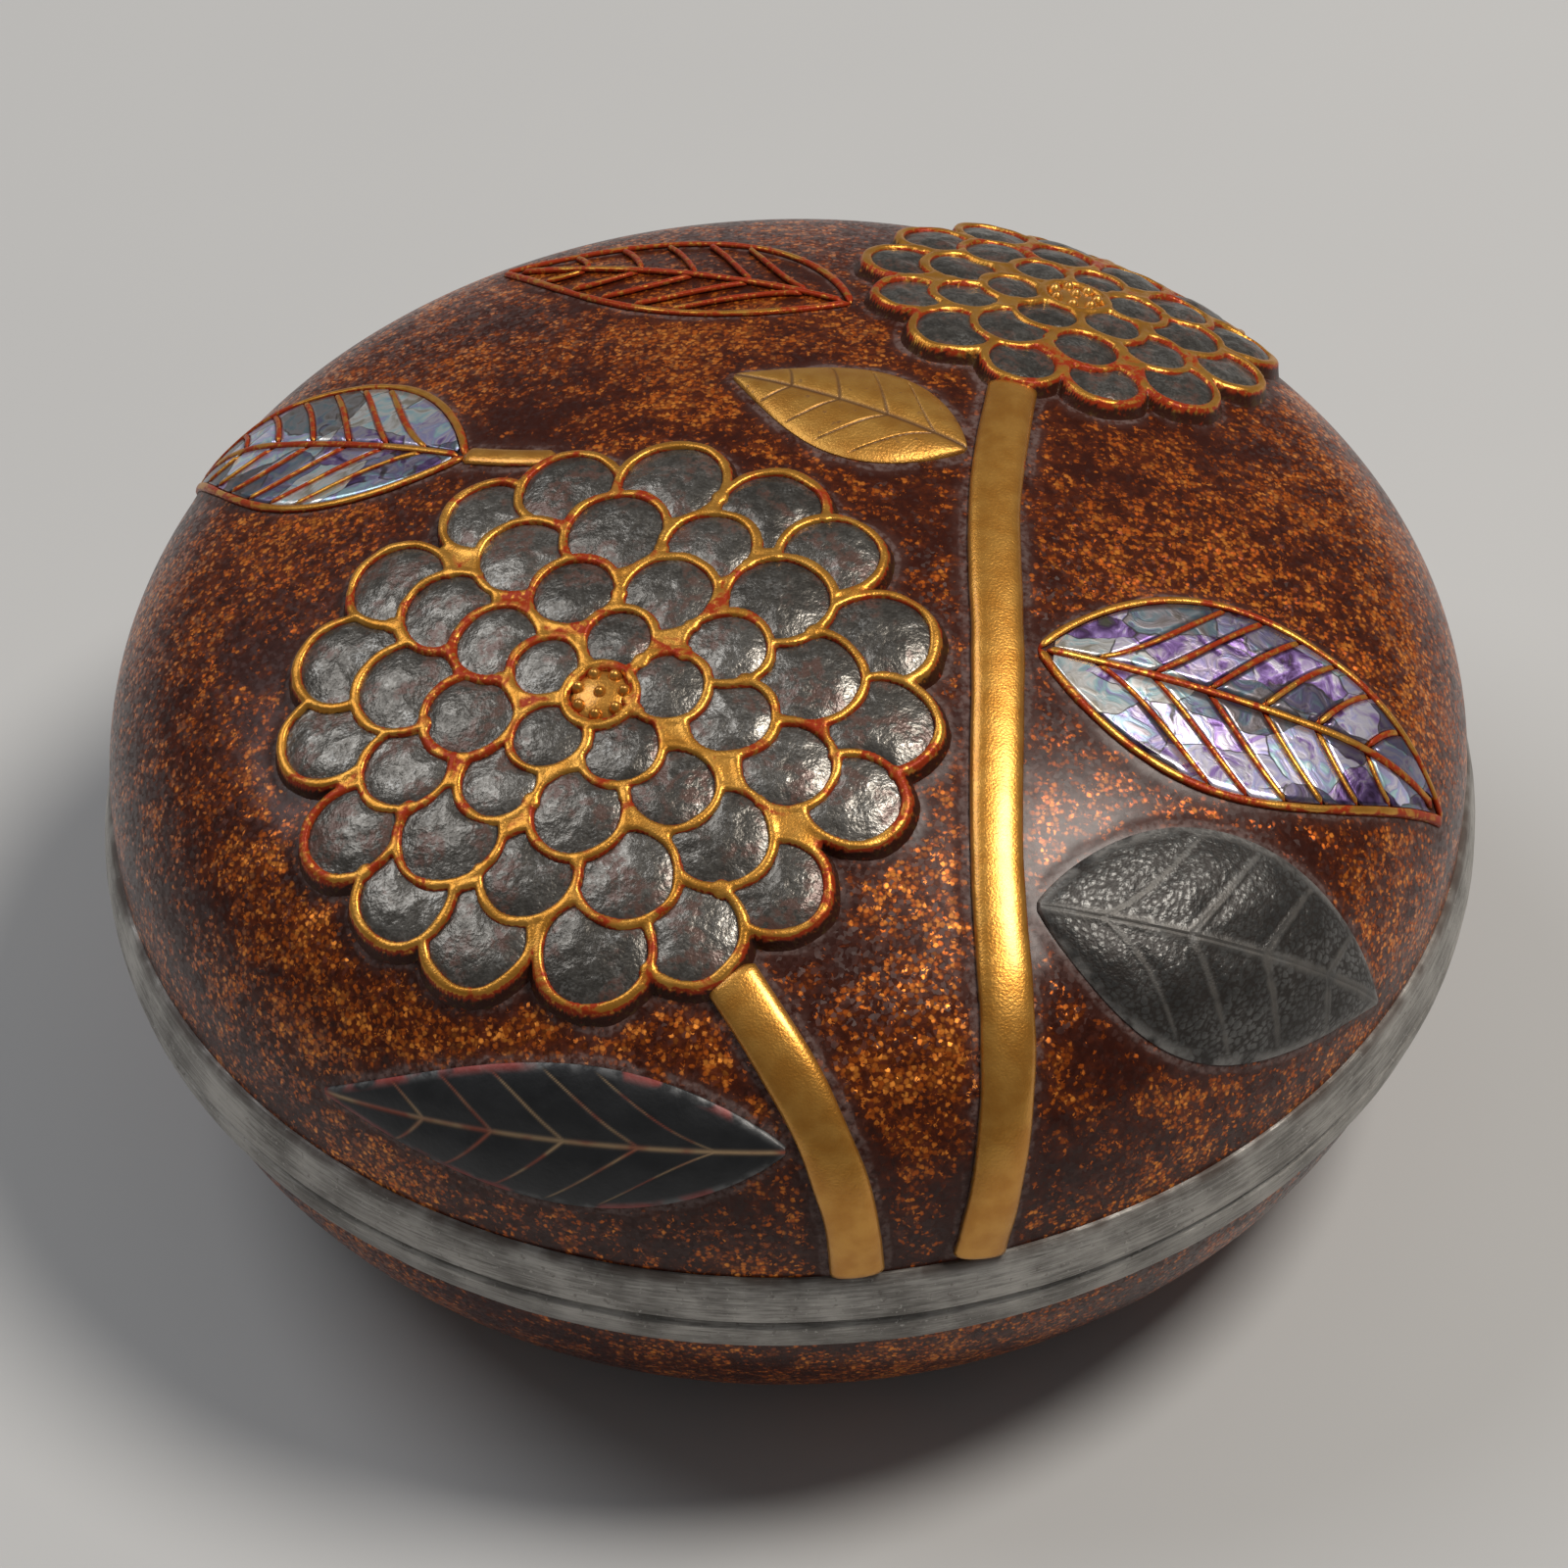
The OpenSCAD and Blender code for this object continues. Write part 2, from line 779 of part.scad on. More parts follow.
module main_bloom_heart() {
    color(gold_colour) bloom_heart(main_bloom_at, main_heart_r);
}

module back_bloom_inner_petals() {
    color(lead_colour) petal_ring(back_bloom_at, back_rings, back_heart_r, 0);
}

module back_bloom_middle_petals() {
    color(lead_colour) petal_ring(back_bloom_at, back_rings, back_heart_r, 1);
}

module back_bloom_outer_petals() {
    color(lead_colour) petal_ring(back_bloom_at, back_rings, back_heart_r, 2);
}

module back_bloom_outline() {
    color(gold_colour) petal_outline(back_bloom_at, back_rings, back_heart_r);
}

module back_bloom_heart() {
    color(gold_colour) bloom_heart(back_bloom_at, back_heart_r);
}

module right_shell_leaf() {
    color(shell_colour) leaf_plates(right_leaf, right_leaf_w, shell_veins);
}

module right_shell_leaf_veins() {
    color(gold_colour) leaf_gold(right_leaf, right_leaf_w, shell_veins);
}

module left_shell_leaf() {
    color(shell_colour) leaf_plates(left_leaf, left_leaf_w, shell_veins);
}

module left_shell_leaf_veins() {
    color(gold_colour) leaf_gold(left_leaf, left_leaf_w, shell_veins);
}

module back_leaf_veins() {
    color(gold_colour) leaf_gold(back_leaf, back_leaf_w, back_veins);
}

module lead_leaf() {
    color(lead_colour) lofted_leaf(embossed_leaf, embossed_leaf_w, lead_leaf_relief);
}

module dark_leaf() {
    color(dark_lead_colour) lofted_leaf(smooth_leaf, smooth_leaf_w, dark_leaf_relief);
}

module gold_leaf() {
    color(gold_colour) lofted_leaf(small_gold_leaf, small_gold_leaf_w, gold_leaf_relief);
}

module main_stem() {
    color(gold_colour)
        lofted_stem(from_foot(main_stem_foot, main_stem_path), stem_w, stem_relief, main_stem_rings);
}

module branch_stem() {
    color(gold_colour)
        lofted_stem(from_foot(branch_stem_foot, branch_stem_path), stem_w, stem_relief, branch_stem_rings);
}

module leaf_stalk() {
    color(gold_colour) lofted_stem(leaf_stalk_path, leaf_stalk_w, edge_relief, leaf_stalk_rings);
}

body_shell();
body_rim();
standing_lip();
lid_shell();
lid_rim();
main_bloom_core_petals();
main_bloom_inner_petals();
main_bloom_middle_petals();
main_bloom_outer_petals();
main_bloom_outline();
main_bloom_heart();
back_bloom_inner_petals();
back_bloom_middle_petals();
back_bloom_outer_petals();
back_bloom_outline();
back_bloom_heart();
right_shell_leaf();
right_shell_leaf_veins();
left_shell_leaf();
left_shell_leaf_veins();
back_leaf_veins();
lead_leaf();
dark_leaf();
gold_leaf();
main_stem();
branch_stem();
leaf_stalk();
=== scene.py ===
"""Lacquer incense box: fine forms and finishes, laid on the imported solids.

Lengths are metres. The spray on the lid is drawn on a field, in millimetres of arc from the crown, x to
the right and y to the back. Each drawing is laid over the dome.
"""
import math

import bmesh
import bpy
import numpy as np
from mathutils import Matrix, Vector, kdtree, noise


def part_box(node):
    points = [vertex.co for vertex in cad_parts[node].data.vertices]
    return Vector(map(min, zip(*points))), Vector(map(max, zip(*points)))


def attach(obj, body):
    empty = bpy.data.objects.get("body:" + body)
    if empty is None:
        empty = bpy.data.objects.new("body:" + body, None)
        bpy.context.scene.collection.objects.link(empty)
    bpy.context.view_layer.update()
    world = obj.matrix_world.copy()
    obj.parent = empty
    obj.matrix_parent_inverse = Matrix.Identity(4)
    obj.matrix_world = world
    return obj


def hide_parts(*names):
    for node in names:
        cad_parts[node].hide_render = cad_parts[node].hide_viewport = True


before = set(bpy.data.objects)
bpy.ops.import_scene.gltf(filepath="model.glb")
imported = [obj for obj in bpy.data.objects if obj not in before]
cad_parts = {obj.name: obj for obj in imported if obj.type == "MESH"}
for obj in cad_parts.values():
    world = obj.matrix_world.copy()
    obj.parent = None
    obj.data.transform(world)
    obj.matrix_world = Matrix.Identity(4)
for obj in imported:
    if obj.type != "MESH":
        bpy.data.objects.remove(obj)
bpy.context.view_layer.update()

MM = 0.001
QUARTER = math.pi / 2

# Turned box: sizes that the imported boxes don't give
SHOULDER_R = 12.5 * MM
WAIST_H = 5 * MM
WALL = 3.2 * MM
BELLY_DROP = 1 * MM
RIM_WEB = 1.2 * MM
RIM_SEAT = 0.8 * MM
RIM_STEP = 0.15 * MM
SEAM_GROOVE = 0.3 * MM
LIP_T = 1.3 * MM
LIP_ROUND = 0.5 * MM
GLUE_GAP = 0.05 * MM

SEAM_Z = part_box("lid_rim")[0].z
LID_RIM_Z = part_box("lid_rim")[1].z
BODY_RIM_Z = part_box("body_rim")[0].z
RIM_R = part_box("lid_rim")[1].x
LID_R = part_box("lid_shell")[1].x
TOP_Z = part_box("lid_shell")[1].z
BODY_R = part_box("body_shell")[1].x
LIP_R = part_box("standing_lip")[1].x
LIP_LOW_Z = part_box("standing_lip")[0].z
LIP_HIGH_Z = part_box("standing_lip")[1].z
LID_BORE = LID_R - WALL
LIP_BORE = LIP_R - LIP_T
LIP_SEAT = LIP_R + GLUE_GAP
BELLY_R = SEAM_Z - BELLY_DROP
FOOT_R = BODY_R - BELLY_R

# Heights of the spray above the lacquer, and widths of its lines
PETAL_CROWN = 0.88 * MM
PETAL_EDGE = 0.56 * MM
LINE_TOP = 0.95 * MM
LINE_FOOT = 0.55 * MM
LINE_W = 0.66 * MM
HEART_TOP = 1.25 * MM
BOSS_TOP = HEART_TOP - 0.35 * MM
STAMEN_TOP = HEART_TOP - 0.12 * MM
STAMEN_R = 0.45 * MM
STAMEN_INSET = 0.6 * MM
SHELL_TOP = 0.22 * MM
VEIN_TOP = 0.32 * MM
VEIN_W = 0.45 * MM
SIDE_VEIN_W = 0.75 * VEIN_W
STEM_TOP = 0.7 * MM
STEM_W = 2.8 * MM
STALK_TOP = 0.35 * MM
STALK_W = 1.3 * MM
LEAF_EDGE = 0.25 * MM
LEAD_LEAF_TOP = 1.1 * MM
DARK_LEAF_TOP = 0.6 * MM
GOLD_LEAF_TOP = 0.7 * MM
BED = 0.02 * MM
SUNK = -0.06 * MM

# Rings of a bloom, inside first: number of petals, radius of the ring, radius of a petal
MAIN_RINGS = [(5, 3.5, 2.4), (9, 6.9, 2.75), (13, 10.6, 3), (17, 14.4, 3.1)]
BACK_RINGS = [(6, 3.5, 2.1), (10, 6.5, 2.4), (13, 9.6, 2.5)]
HEART_R = 1.9
STAMEN_COUNT = 7
PETAL_SWAY = 2
SWAY_STEP = 97
PETAL_VARY = 0.06
VARY_STEP = 71

# Places on the field: a leaf is its root, tip and width
FIELD_ARC = 45.26
MAIN_BLOOM_AT = (-9.5, -14)
BACK_BLOOM_AT = (17, 20)
RIGHT_LEAF = ((13.2, -11), (38, -14), 12.5)
LEFT_LEAF = ((-17, 5.5), (-36, 17), 11)
BACK_LEAF = ((4.2, 17.5), (-16, 28), 10.5)
LEAD_LEAF = ((13.2, -26.5), (35.2, -27.2), 12)
DARK_LEAF = ((-2.2, -40), (-27, -34), 7.6)
GOLD_LEAF = ((10, 3), (-2.5, 9.5), 8)
FOOT_GAP = 0.35 * MM
MAIN_STEM_FOOT = -85.8
MAIN_STEM = [(2.6, -42), (0.4, -36.5), (-3.4, -30)]
BRANCH_STEM_FOOT = -76.2
BRANCH_STEM = [(11.2, -36), (10.6, -24), (11, -12), (11.3, -1), (12.8, 9.1)]
LEAF_STALK = [(-12.1, 3.75), (-14.6, 4.5), (-17, 5.5)]

# Leaves: shares of the length at which slips and veins start, and numbers of veins on a side
LEAF_FULLNESS = 0.8
VEIN_LEAN = 0.3
FIRST_PLATE, FIRST_VEIN, LAST_VEIN, LAST_PLATE = 0.035, 0.13, 0.74, 0.91
SHELL_VEINS, BACK_VEINS, LEAD_VEINS, DARK_VEINS, GOLD_VEINS = 6, 5, 4, 5, 4
MIDRIB_ROOM = 2


# The dome and flat drawings laid over it

class Dome:
    """The lid's outer face: a sphere that runs into a round shoulder and a straight skirt."""

    def __init__(self):
        self.waist_z = SEAM_Z + WAIST_H
        self.shoulder_x = LID_R - SHOULDER_R
        rise = TOP_Z - self.waist_z - SHOULDER_R
        self.crown_z = self.waist_z + (rise ** 2 - self.shoulder_x ** 2) / (2 * rise)
        self.crown_r = TOP_Z - self.crown_z
        self.crown_angle = math.asin(self.shoulder_x / (self.crown_r - SHOULDER_R))
        self.crown_arc = self.crown_r * self.crown_angle
        self.waist_arc = self.crown_arc + SHOULDER_R * (QUARTER - self.crown_angle)

    def at(self, places):
        """Points on the dome at places on the field, below the waist too."""
        places = np.atleast_2d(places)
        arc = np.hypot(*places.T) * UNIT
        turn = np.arctan2(places[:, 1], places[:, 0])
        on_crown = arc < self.crown_arc
        past_crown = self.crown_angle + (arc - self.crown_arc) / SHOULDER_R
        tilt = np.where(on_crown, arc / self.crown_r, np.minimum(QUARTER, past_crown))
        bend = np.where(on_crown, self.crown_r, SHOULDER_R)
        r = np.where(on_crown, 0, self.shoulder_x) + bend * np.sin(tilt)
        z = np.where(on_crown, self.crown_z, self.waist_z) + bend * np.cos(tilt)
        z = z - np.maximum(0, arc - self.waist_arc)
        return np.column_stack([r * np.cos(turn), r * np.sin(turn), z])

    def normal(self, points):
        """Directions straight out of the dome at points near it."""
        x, y, z = points.T
        r = np.hypot(x, y)
        from_crown = np.arctan2(r, z - self.crown_z)
        from_shoulder = np.arctan2(r - self.shoulder_x, z - self.waist_z)
        tilt = np.where(from_crown < self.crown_angle, from_crown, np.minimum(QUARTER, from_shoulder))
        turn = np.arctan2(y, x)
        return np.column_stack([np.sin(tilt) * np.cos(turn), np.sin(tilt) * np.sin(turn), np.cos(tilt)])

    def height(self, points):
        """Heights of points above the dome."""
        x, y, z = points.T
        r = np.hypot(x, y)
        up = z - self.crown_z
        over_crown = np.hypot(r, up) - self.crown_r
        over_shoulder = np.hypot(r - self.shoulder_x, z - self.waist_z) - SHOULDER_R
        upper = np.where(np.arctan2(r, up) < self.crown_angle, over_crown, over_shoulder)
        return np.where(z < self.waist_z, r - LID_R, upper)

    def seated(self, points, height):
        """Moves points straight out of the dome to a height above it."""
        return points + self.normal(points) * (height - self.height(points))[:, None]


dome = Dome()
UNIT = dome.waist_arc / FIELD_ARC
FOOT_ARC = (dome.waist_arc + dome.waist_z - LID_RIM_Z - FOOT_GAP) / UNIT


class Drawing:
    """A flat drawing that touches the dome at a place on the field, with x along a heading."""

    SLIDES = 6

    def __init__(self, place, heading=0.0):
        self.middle = dome.at(place)
        self.out = dome.normal(self.middle)[0]
        turn = math.atan2(place[1], place[0])
        tilt = math.acos(self.out[2])
        lean = heading - turn
        self.along = np.array([
            math.cos(lean) * math.cos(tilt) * math.cos(turn) - math.sin(lean) * math.sin(turn),
            math.cos(lean) * math.cos(tilt) * math.sin(turn) + math.sin(lean) * math.cos(turn),
            -math.cos(lean) * math.sin(tilt),
        ])
        self.across = np.cross(self.out, self.along)

    def laid(self, flat, height):
        """Points of the drawing, slid along its own normal to heights above the dome."""
        points = self.middle + flat[:, :1] * self.along + flat[:, 1:2] * self.across
        for _ in range(self.SLIDES):
            step = (dome.height(points) - height) / (dome.normal(points) @ self.out)
            points = points - step[:, None] * self.out
        return points


class Leaf(Drawing):
    """A leaf drawn along x, with its root and tip at places on the field."""

    def __init__(self, root, tip, width):
        root, tip = np.array(root), np.array(tip)
        way = tip - root
        super().__init__((root + tip) / 2, math.atan2(way[1], way[0]))
        self.length = np.hypot(*way) * UNIT
        self.width = width * UNIT

    def flat(self, share, aside):
        """Points of the drawing at shares of the length, some way aside of the midrib."""
        return np.column_stack([(share - 0.5) * self.length, aside])

    def half(self, share):
        """Half width at a share of the length."""
        return self.width / 2 * np.sin(math.pi * np.clip(share, 0, 1) ** LEAF_FULLNESS)

    def ends(self, half):
        """Shares of the length at which the leaf has a half width, near its root and its tip."""
        angle = math.asin(2 * half / self.width) / math.pi
        return angle ** (1 / LEAF_FULLNESS), (1 - angle) ** (1 / LEAF_FULLNESS)

    def stretch(self, share):
        """How much wider a band along the edge is across the leaf than across itself."""
        turn = math.pi * share ** LEAF_FULLNESS
        rate = math.pi * LEAF_FULLNESS * share ** (LEAF_FULLNESS - 1) / self.length
        return np.hypot(1, self.width / 2 * np.cos(turn) * rate)

    def leaning(self, start, out, side, lean=VEIN_LEAN):
        """Points on lines that lean from the midrib to the edge, clear of the gold at both ends."""
        share = start + lean * out * (1 - start)
        inner = VEIN_W / 2 + GLUE_GAP
        outer = self.half(share) - VEIN_W / 2 - inner * self.stretch(share)
        return self.flat(share, side * (inner + (outer - inner) * out))

    def leaning_half(self, start, half):
        """Share of the midrib that half a leaning line takes up."""
        foot, end = self.leaning(start, np.array([0.0, 1.0]), 1)
        way = end - foot
        return half * np.hypot(*way) / way[1] / self.length

    def edge(self, side, count):
        """A path along the middle of the gold line on one edge."""
        share = np.linspace(*self.ends(VEIN_W / 2), count)
        return self.flat(share, side * (self.half(share) - VEIN_W / 2))

    def midrib(self, count):
        share = np.linspace(*self.ends(MIDRIB_ROOM * VEIN_W), count)
        return self.flat(share, np.zeros(count))


def vein_starts(count):
    return np.linspace(FIRST_VEIN, LAST_VEIN, count)


# Mesh helpers

SHARP_ANGLE = math.radians(32)


def coords(verts):
    return np.array([v.co[:] for v in verts])


def move(verts, points):
    for vert, point in zip(verts, points):
        vert.co = point


def ways(angles):
    """Directions at angles on a drawing."""
    return np.column_stack([np.cos(angles), np.sin(angles)])


def ways_round(count):
    return ways(np.linspace(0, 2 * math.pi, count, endpoint=False))


def apart(points, circle):
    """Distances of flat points from the middle of a circle."""
    return np.hypot(*(points - circle[:2]).T)


def spots(flat, seed=0):
    """Flat points to read noise at, on a layer of their own for each seed."""
    return np.column_stack([flat, np.full(len(flat), seed * MM)])


def ripple(points, size, seed):
    """Smooth noise between -1 and 1 at points, with waves of a size in millimetres."""
    shift = Vector((seed, 1.7 * seed, -0.6 * seed))
    return np.array([noise.noise(Vector(point) / (size * MM) + shift) for point in points])


def eased(low, high, values):
    """0 below low, 1 above high and a smooth step between; falls where low is above high."""
    t = np.clip((values - low) / (high - low), 0, 1)
    return t * t * (3 - 2 * t)


def new_mesh(*marks):
    """An empty mesh that can keep values on its vertices."""
    bm = bmesh.new()
    for name in marks:
        bm.verts.layers.float.new(name)
    return bm


def mark(bm, name, verts, values):
    """Keeps a value on each vertex, which a finish reads by its name."""
    layer = bm.verts.layers.float[name]
    for vert, value in zip(verts, values):
        vert[layer] = value


def everything(bm):
    return bm.verts[:] + bm.edges[:] + bm.faces[:]


def only_verts(geom):
    return [part for part in geom if isinstance(part, bmesh.types.BMVert)]


def doubled(bm):
    """Gives a sheet a second side. Returns all verts, and which of them are on the new, upper side."""
    made = bmesh.ops.extrude_face_region(bm, geom=everything(bm), use_keep_orig=True)["geom"]
    upper = set(only_verts(made))
    verts = list(bm.verts)
    return verts, np.array([vert in upper for vert in verts])


def kept(bm, name):
    """Turns a mesh in the making into one that stays."""
    mesh = bpy.data.meshes.new(name)
    bm.to_mesh(mesh)
    bm.free()
    return mesh


def linked(name, data):
    """An object in the scene."""
    item = bpy.data.objects.new(name, data)
    bpy.context.scene.collection.objects.link(item)
    return item


def finished(bm, node, kind, finish, body="lid", sharp=False):
    """Makes a mesh a piece that rides on a body and stands for a node."""
    bmesh.ops.recalc_face_normals(bm, faces=bm.faces)
    name = f"{node}_{kind}"
    mesh = kept(bm, name)
    mesh.shade_smooth()
    if sharp:
        mesh.set_sharp_from_angle(angle=SHARP_ANGLE)
    mesh.materials.append(finish)
    piece = linked(name, mesh)
    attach(piece, body)
    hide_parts(node)


# Finishes

class Value:
    """A value in a finish. Python's operators add the Math nodes that work it out."""

    def __init__(self, finish, node, output=0):
        self.finish = finish
        self.node = node
        self.socket = node.outputs[output]

    def __getitem__(self, output):
        return Value(self.finish, self.node, output)

    def math(self, operation, *others):
        return self.finish.math(operation, self, *others)

    def __add__(self, other):
        return self.math("ADD", other)

    def __sub__(self, other):
        return self.math("SUBTRACT", other)

    def __rsub__(self, other):
        return self.finish.math("SUBTRACT", other, self)

    def __mul__(self, other):
        return self.math("MULTIPLY", other)

    def __truediv__(self, other):
        return self.math("DIVIDE", other)

    __radd__ = __add__
    __rmul__ = __mul__

    def below(self, limit):
        return self.math("LESS_THAN", limit)

    def most(self, other):
        return self.math("MAXIMUM", other)

    def step(self, low, high):
        """0 below low, 1 above high and a smooth step between; falls where low is above high."""
        settings = {"interpolation_type": "SMOOTHSTEP"}
        inputs = {"Value": self, "From Min": low, "From Max": high}
        return self.finish.node("ShaderNodeMapRange", settings, inputs)


class Finish:
    """A material of procedural nodes on one principled shader. Sizes in it are millimetres."""

    def __init__(self, name, **constants):
        self.material = bpy.data.materials.new(name)
        self.material.use_nodes = True
        self.tree = self.material.node_tree
        self.shader = self.tree.nodes["Principled BSDF"]
        self.mm = self.scaled(self.node("ShaderNodeTexCoord", output="Object"), 1 / MM)
        self.set(**constants)

    def node(self, kind, settings=None, inputs=None, output=0):
        """Adds a node, sets it up, fills its sockets and returns one of its outputs."""
        node = self.tree.nodes.new(kind)
        for name, setting in (settings or {}).items():
            if name == "stops":
                self.set_stops(node.color_ramp, setting)
            else:
                setattr(node, name, setting)
        for socket, value in (inputs or {}).items():
            self.feed(node.inputs[socket], value)
        return Value(self, node, output)

    def feed(self, socket, value):
        if isinstance(value, Value):
            self.tree.links.new(value.socket, socket)
        else:
            socket.default_value = value

    @staticmethod
    def set_stops(ramp, stops):
        for position, _ in stops[2:]:
            ramp.elements.new(position)
        for element, (position, colour) in zip(ramp.elements, stops):
            element.position = position
            element.color = (*colour, 1)

    def set(self, **inputs):
        """Links or sets the shader's own sockets."""
        for name, value in inputs.items():
            socket = name.replace("_", " ").title().replace("Ior", "IOR")
            self.feed(self.shader.inputs[socket], value)

    def math(self, operation, *values):
        return self.node("ShaderNodeMath", {"operation": operation}, dict(enumerate(values)))

    def vector(self, operation, *vectors):
        return self.node("ShaderNodeVectorMath", {"operation": operation}, dict(enumerate(vectors)))

    def scaled(self, vector, amount):
        return self.node("ShaderNodeVectorMath", {"operation": "SCALE"}, {0: vector, "Scale": amount})

    def leans(self, colour, amount):
        """Random leans to all sides from a colour between 0 and 1."""
        return self.scaled(self.vector("SUBTRACT", colour, (0.5, 0.5, 0.5)), amount)

    def split(self, vector):
        """The three parts of a vector or colour."""
        parts = self.node("ShaderNodeSeparateXYZ", inputs={0: vector})
        return parts[0], parts[1], parts[2]

    def attribute(self, name):
        return self.node("ShaderNodeAttribute", {"attribute_name": name}, output="Fac")

    def noise(self, size, detail=2, roughness=0.5, distortion=0.0):
        """Noise with waves of a size."""
        inputs = {"Scale": 1 / size, "Detail": detail, "Roughness": roughness, "Distortion": distortion}
        return self.node("ShaderNodeTexNoise", inputs={"Vector": self.mm, **inputs})

    def cells(self, size, vector, feature="F1"):
        """Cells of a size: distance, or the cell's own random colour as ["Color"]."""
        inputs = {"Vector": vector, "Scale": 1 / size}
        return self.node("ShaderNodeTexVoronoi", {"feature": feature}, inputs)

    def shaken(self, size, amount):
        """The place, moved about by noise."""
        return self.vector("ADD", self.mm, self.leans(self.noise(size)["Color"], amount))

    def blend(self, share, a, b, how="MIX"):
        """A colour between a and b."""
        settings = {"data_type": "RGBA", "blend_type": how}
        a, b = (colour if isinstance(colour, Value) else (*colour, 1) for colour in (a, b))
        return self.node("ShaderNodeMix", settings, {0: share, 6: a, 7: b}, output=2)

    def ramp(self, share, *stops):
        return self.node("ShaderNodeValToRGB", {"stops": stops}, {0: share})

    def bump(self, height, depth):
        """A bump of a depth."""
        return self.node("ShaderNodeBump", inputs={"Height": height, "Distance": depth * MM, "Strength": 1})

    def tilted(self, colour, amount, normal=None):
        """The surface normal, leaned by a random colour."""
        normal = normal or self.node("ShaderNodeNewGeometry", output="Normal")
        return self.vector("NORMALIZE", self.vector("ADD", normal, self.leans(colour, amount)))


def lacquer_finish():
    """Clear red-brown lacquer over dark ground, with clouds of fine gold flakes and dull halos."""
    f = Finish("sprinkled_lacquer", coat_roughness=0.22, coat_ior=1.5, specular_ior_level=0.1)
    near = f.attribute("near_relief")
    cloud = f.noise(9, detail=3, roughness=0.6)
    patch = f.noise(1.7, detail=3, roughness=0.6)
    sponge = f.noise(0.6, detail=3, roughness=0.7, distortion=0.5)
    dust = (0.42 * cloud + 0.36 * patch + 0.44 * sponge - 0.07 * near).step(0.5, 0.75)
    flake = f.cells(0.24, f.shaken(0.25, 0.18))
    chance, tone, depth = f.split(flake["Color"])
    shown = chance.below(0.95 * dust) * flake.step(0.85, 0.3)
    ground = f.blend(dust, (0.034, 0.0054, 0.0016), (0.112, 0.019, 0.0026))
    gold = f.ramp(
        0.55 * tone + 0.5 * dust,
        (0.1, (0.17, 0.026, 0.003)), (0.55, (0.56, 0.118, 0.010)), (0.95, (0.92, 0.310, 0.042)),
    )
    colour = f.blend(shown * depth.step(-0.3, 0.8), ground, gold)
    film = 0.6 * f.noise(0.9, detail=4, roughness=0.65) + 0.4 * f.noise(4)
    haze = near * film.step(0.3, 0.62)
    residue = near.step(0.78, 0.98) * film.step(0.36, 0.56) * f.noise(0.3, detail=3).step(0.3, 0.6)
    colour = f.blend(0.45 * haze, colour, (0.105, 0.047, 0.036))
    f.set(
        base_color=f.blend(0.5 * residue, colour, (0.200, 0.145, 0.134)),
        metallic=0.55 * shown * (1 - haze),
        roughness=0.38 + 0.2 * haze,
        coat_weight=0.38 - 0.18 * haze,
        normal=f.tilted(flake["Color"], 0.5),
    )
    return f.material


def rim_finish():
    """Dull lead, scratched round the box, rubbed pale on the bead and brown along its edges."""
    f = Finish("rim_lead")
    x, y, z = f.split(f.mm)
    out = (x * x + y * y).math("SQRT")
    long, fine = 18, 8
    turn = f.node("ShaderNodeCombineXYZ", inputs={0: x / out * long, 1: y / out * long, 2: z * fine})
    scratch = f.node(
        "ShaderNodeTexNoise", {"noise_dimensions": "4D"},
        {"Vector": turn, "W": out * fine, "Scale": 1, "Detail": 5, "Roughness": 0.72},
    )
    rubbed = f.noise(3.5, detail=4)
    nick = f.noise(0.28, detail=3, roughness=0.6).step(0.6, 0.7)
    pale = (0.55 * scratch + 0.5 * rubbed).step(0.38, 0.66).most(0.9 * nick)
    grey = f.blend(pale, (0.185, 0.173, 0.157), (0.50, 0.477, 0.442))
    pit = f.noise(0.45, detail=3, roughness=0.6).step(0.62, 0.7)
    upper = z.step(LID_RIM_Z / MM - 0.7, LID_RIM_Z / MM - 0.05)
    lower = z.step(BODY_RIM_Z / MM + 0.45, BODY_RIM_Z / MM + 0.05)
    residue = (upper.most(lower) * f.noise(2.2, detail=3).step(0.28, 0.62)).most(0.5 * pit)
    f.set(
        base_color=f.blend(0.85 * residue, grey, (0.066, 0.042, 0.031)),
        metallic=0.6 - 0.5 * residue,
        roughness=0.56 - 0.16 * pale,
        normal=f.bump(scratch + 0.6 * f.noise(0.5, detail=3), 0.05),
    )
    return f.material


def petal_finish():
    """Hammered lead, dark in the lows, with shade painted round the edge of each pillow, rubbed on the high
    places and stained brown here and there.
    """
    f = Finish("petal_lead")
    crest, tone = f.attribute("crest"), f.attribute("tone")
    hammer = f.noise(0.6, detail=3)
    fine = f.noise(0.16)
    grey = f.ramp(
        0.6 * hammer + 0.4 * fine + 0.14 * (tone - 0.5),
        (0.34, (0.078, 0.071, 0.062)), (0.5, (0.130, 0.120, 0.106)), (0.66, (0.225, 0.212, 0.192)),
    )
    rubbed = f.noise(1.6, detail=4, roughness=0.7).step(0.52, 0.68) * fine.step(0.42, 0.58)
    stain = f.noise(2.0, detail=4).step(0.49, 0.6) * f.noise(0.4, detail=3).step(0.38, 0.56)
    colour = f.blend(0.5 * rubbed, grey, (0.34, 0.335, 0.32))
    colour = f.blend(0.7 * stain, colour, (0.105, 0.040, 0.026))
    f.set(
        # Painted shade: the colour darkens to near black round the edge of each pillow, where it dips to
        # the gold line.
        base_color=f.blend(0.7 * crest.step(0.14, 0.0), colour, (0.018, 0.012, 0.009)),
        metallic=0.75 - 0.5 * stain,
        roughness=0.42 - 0.2 * hammer,
        normal=f.bump(hammer + 0.3 * fine, 0.08),
    )
    return f.material


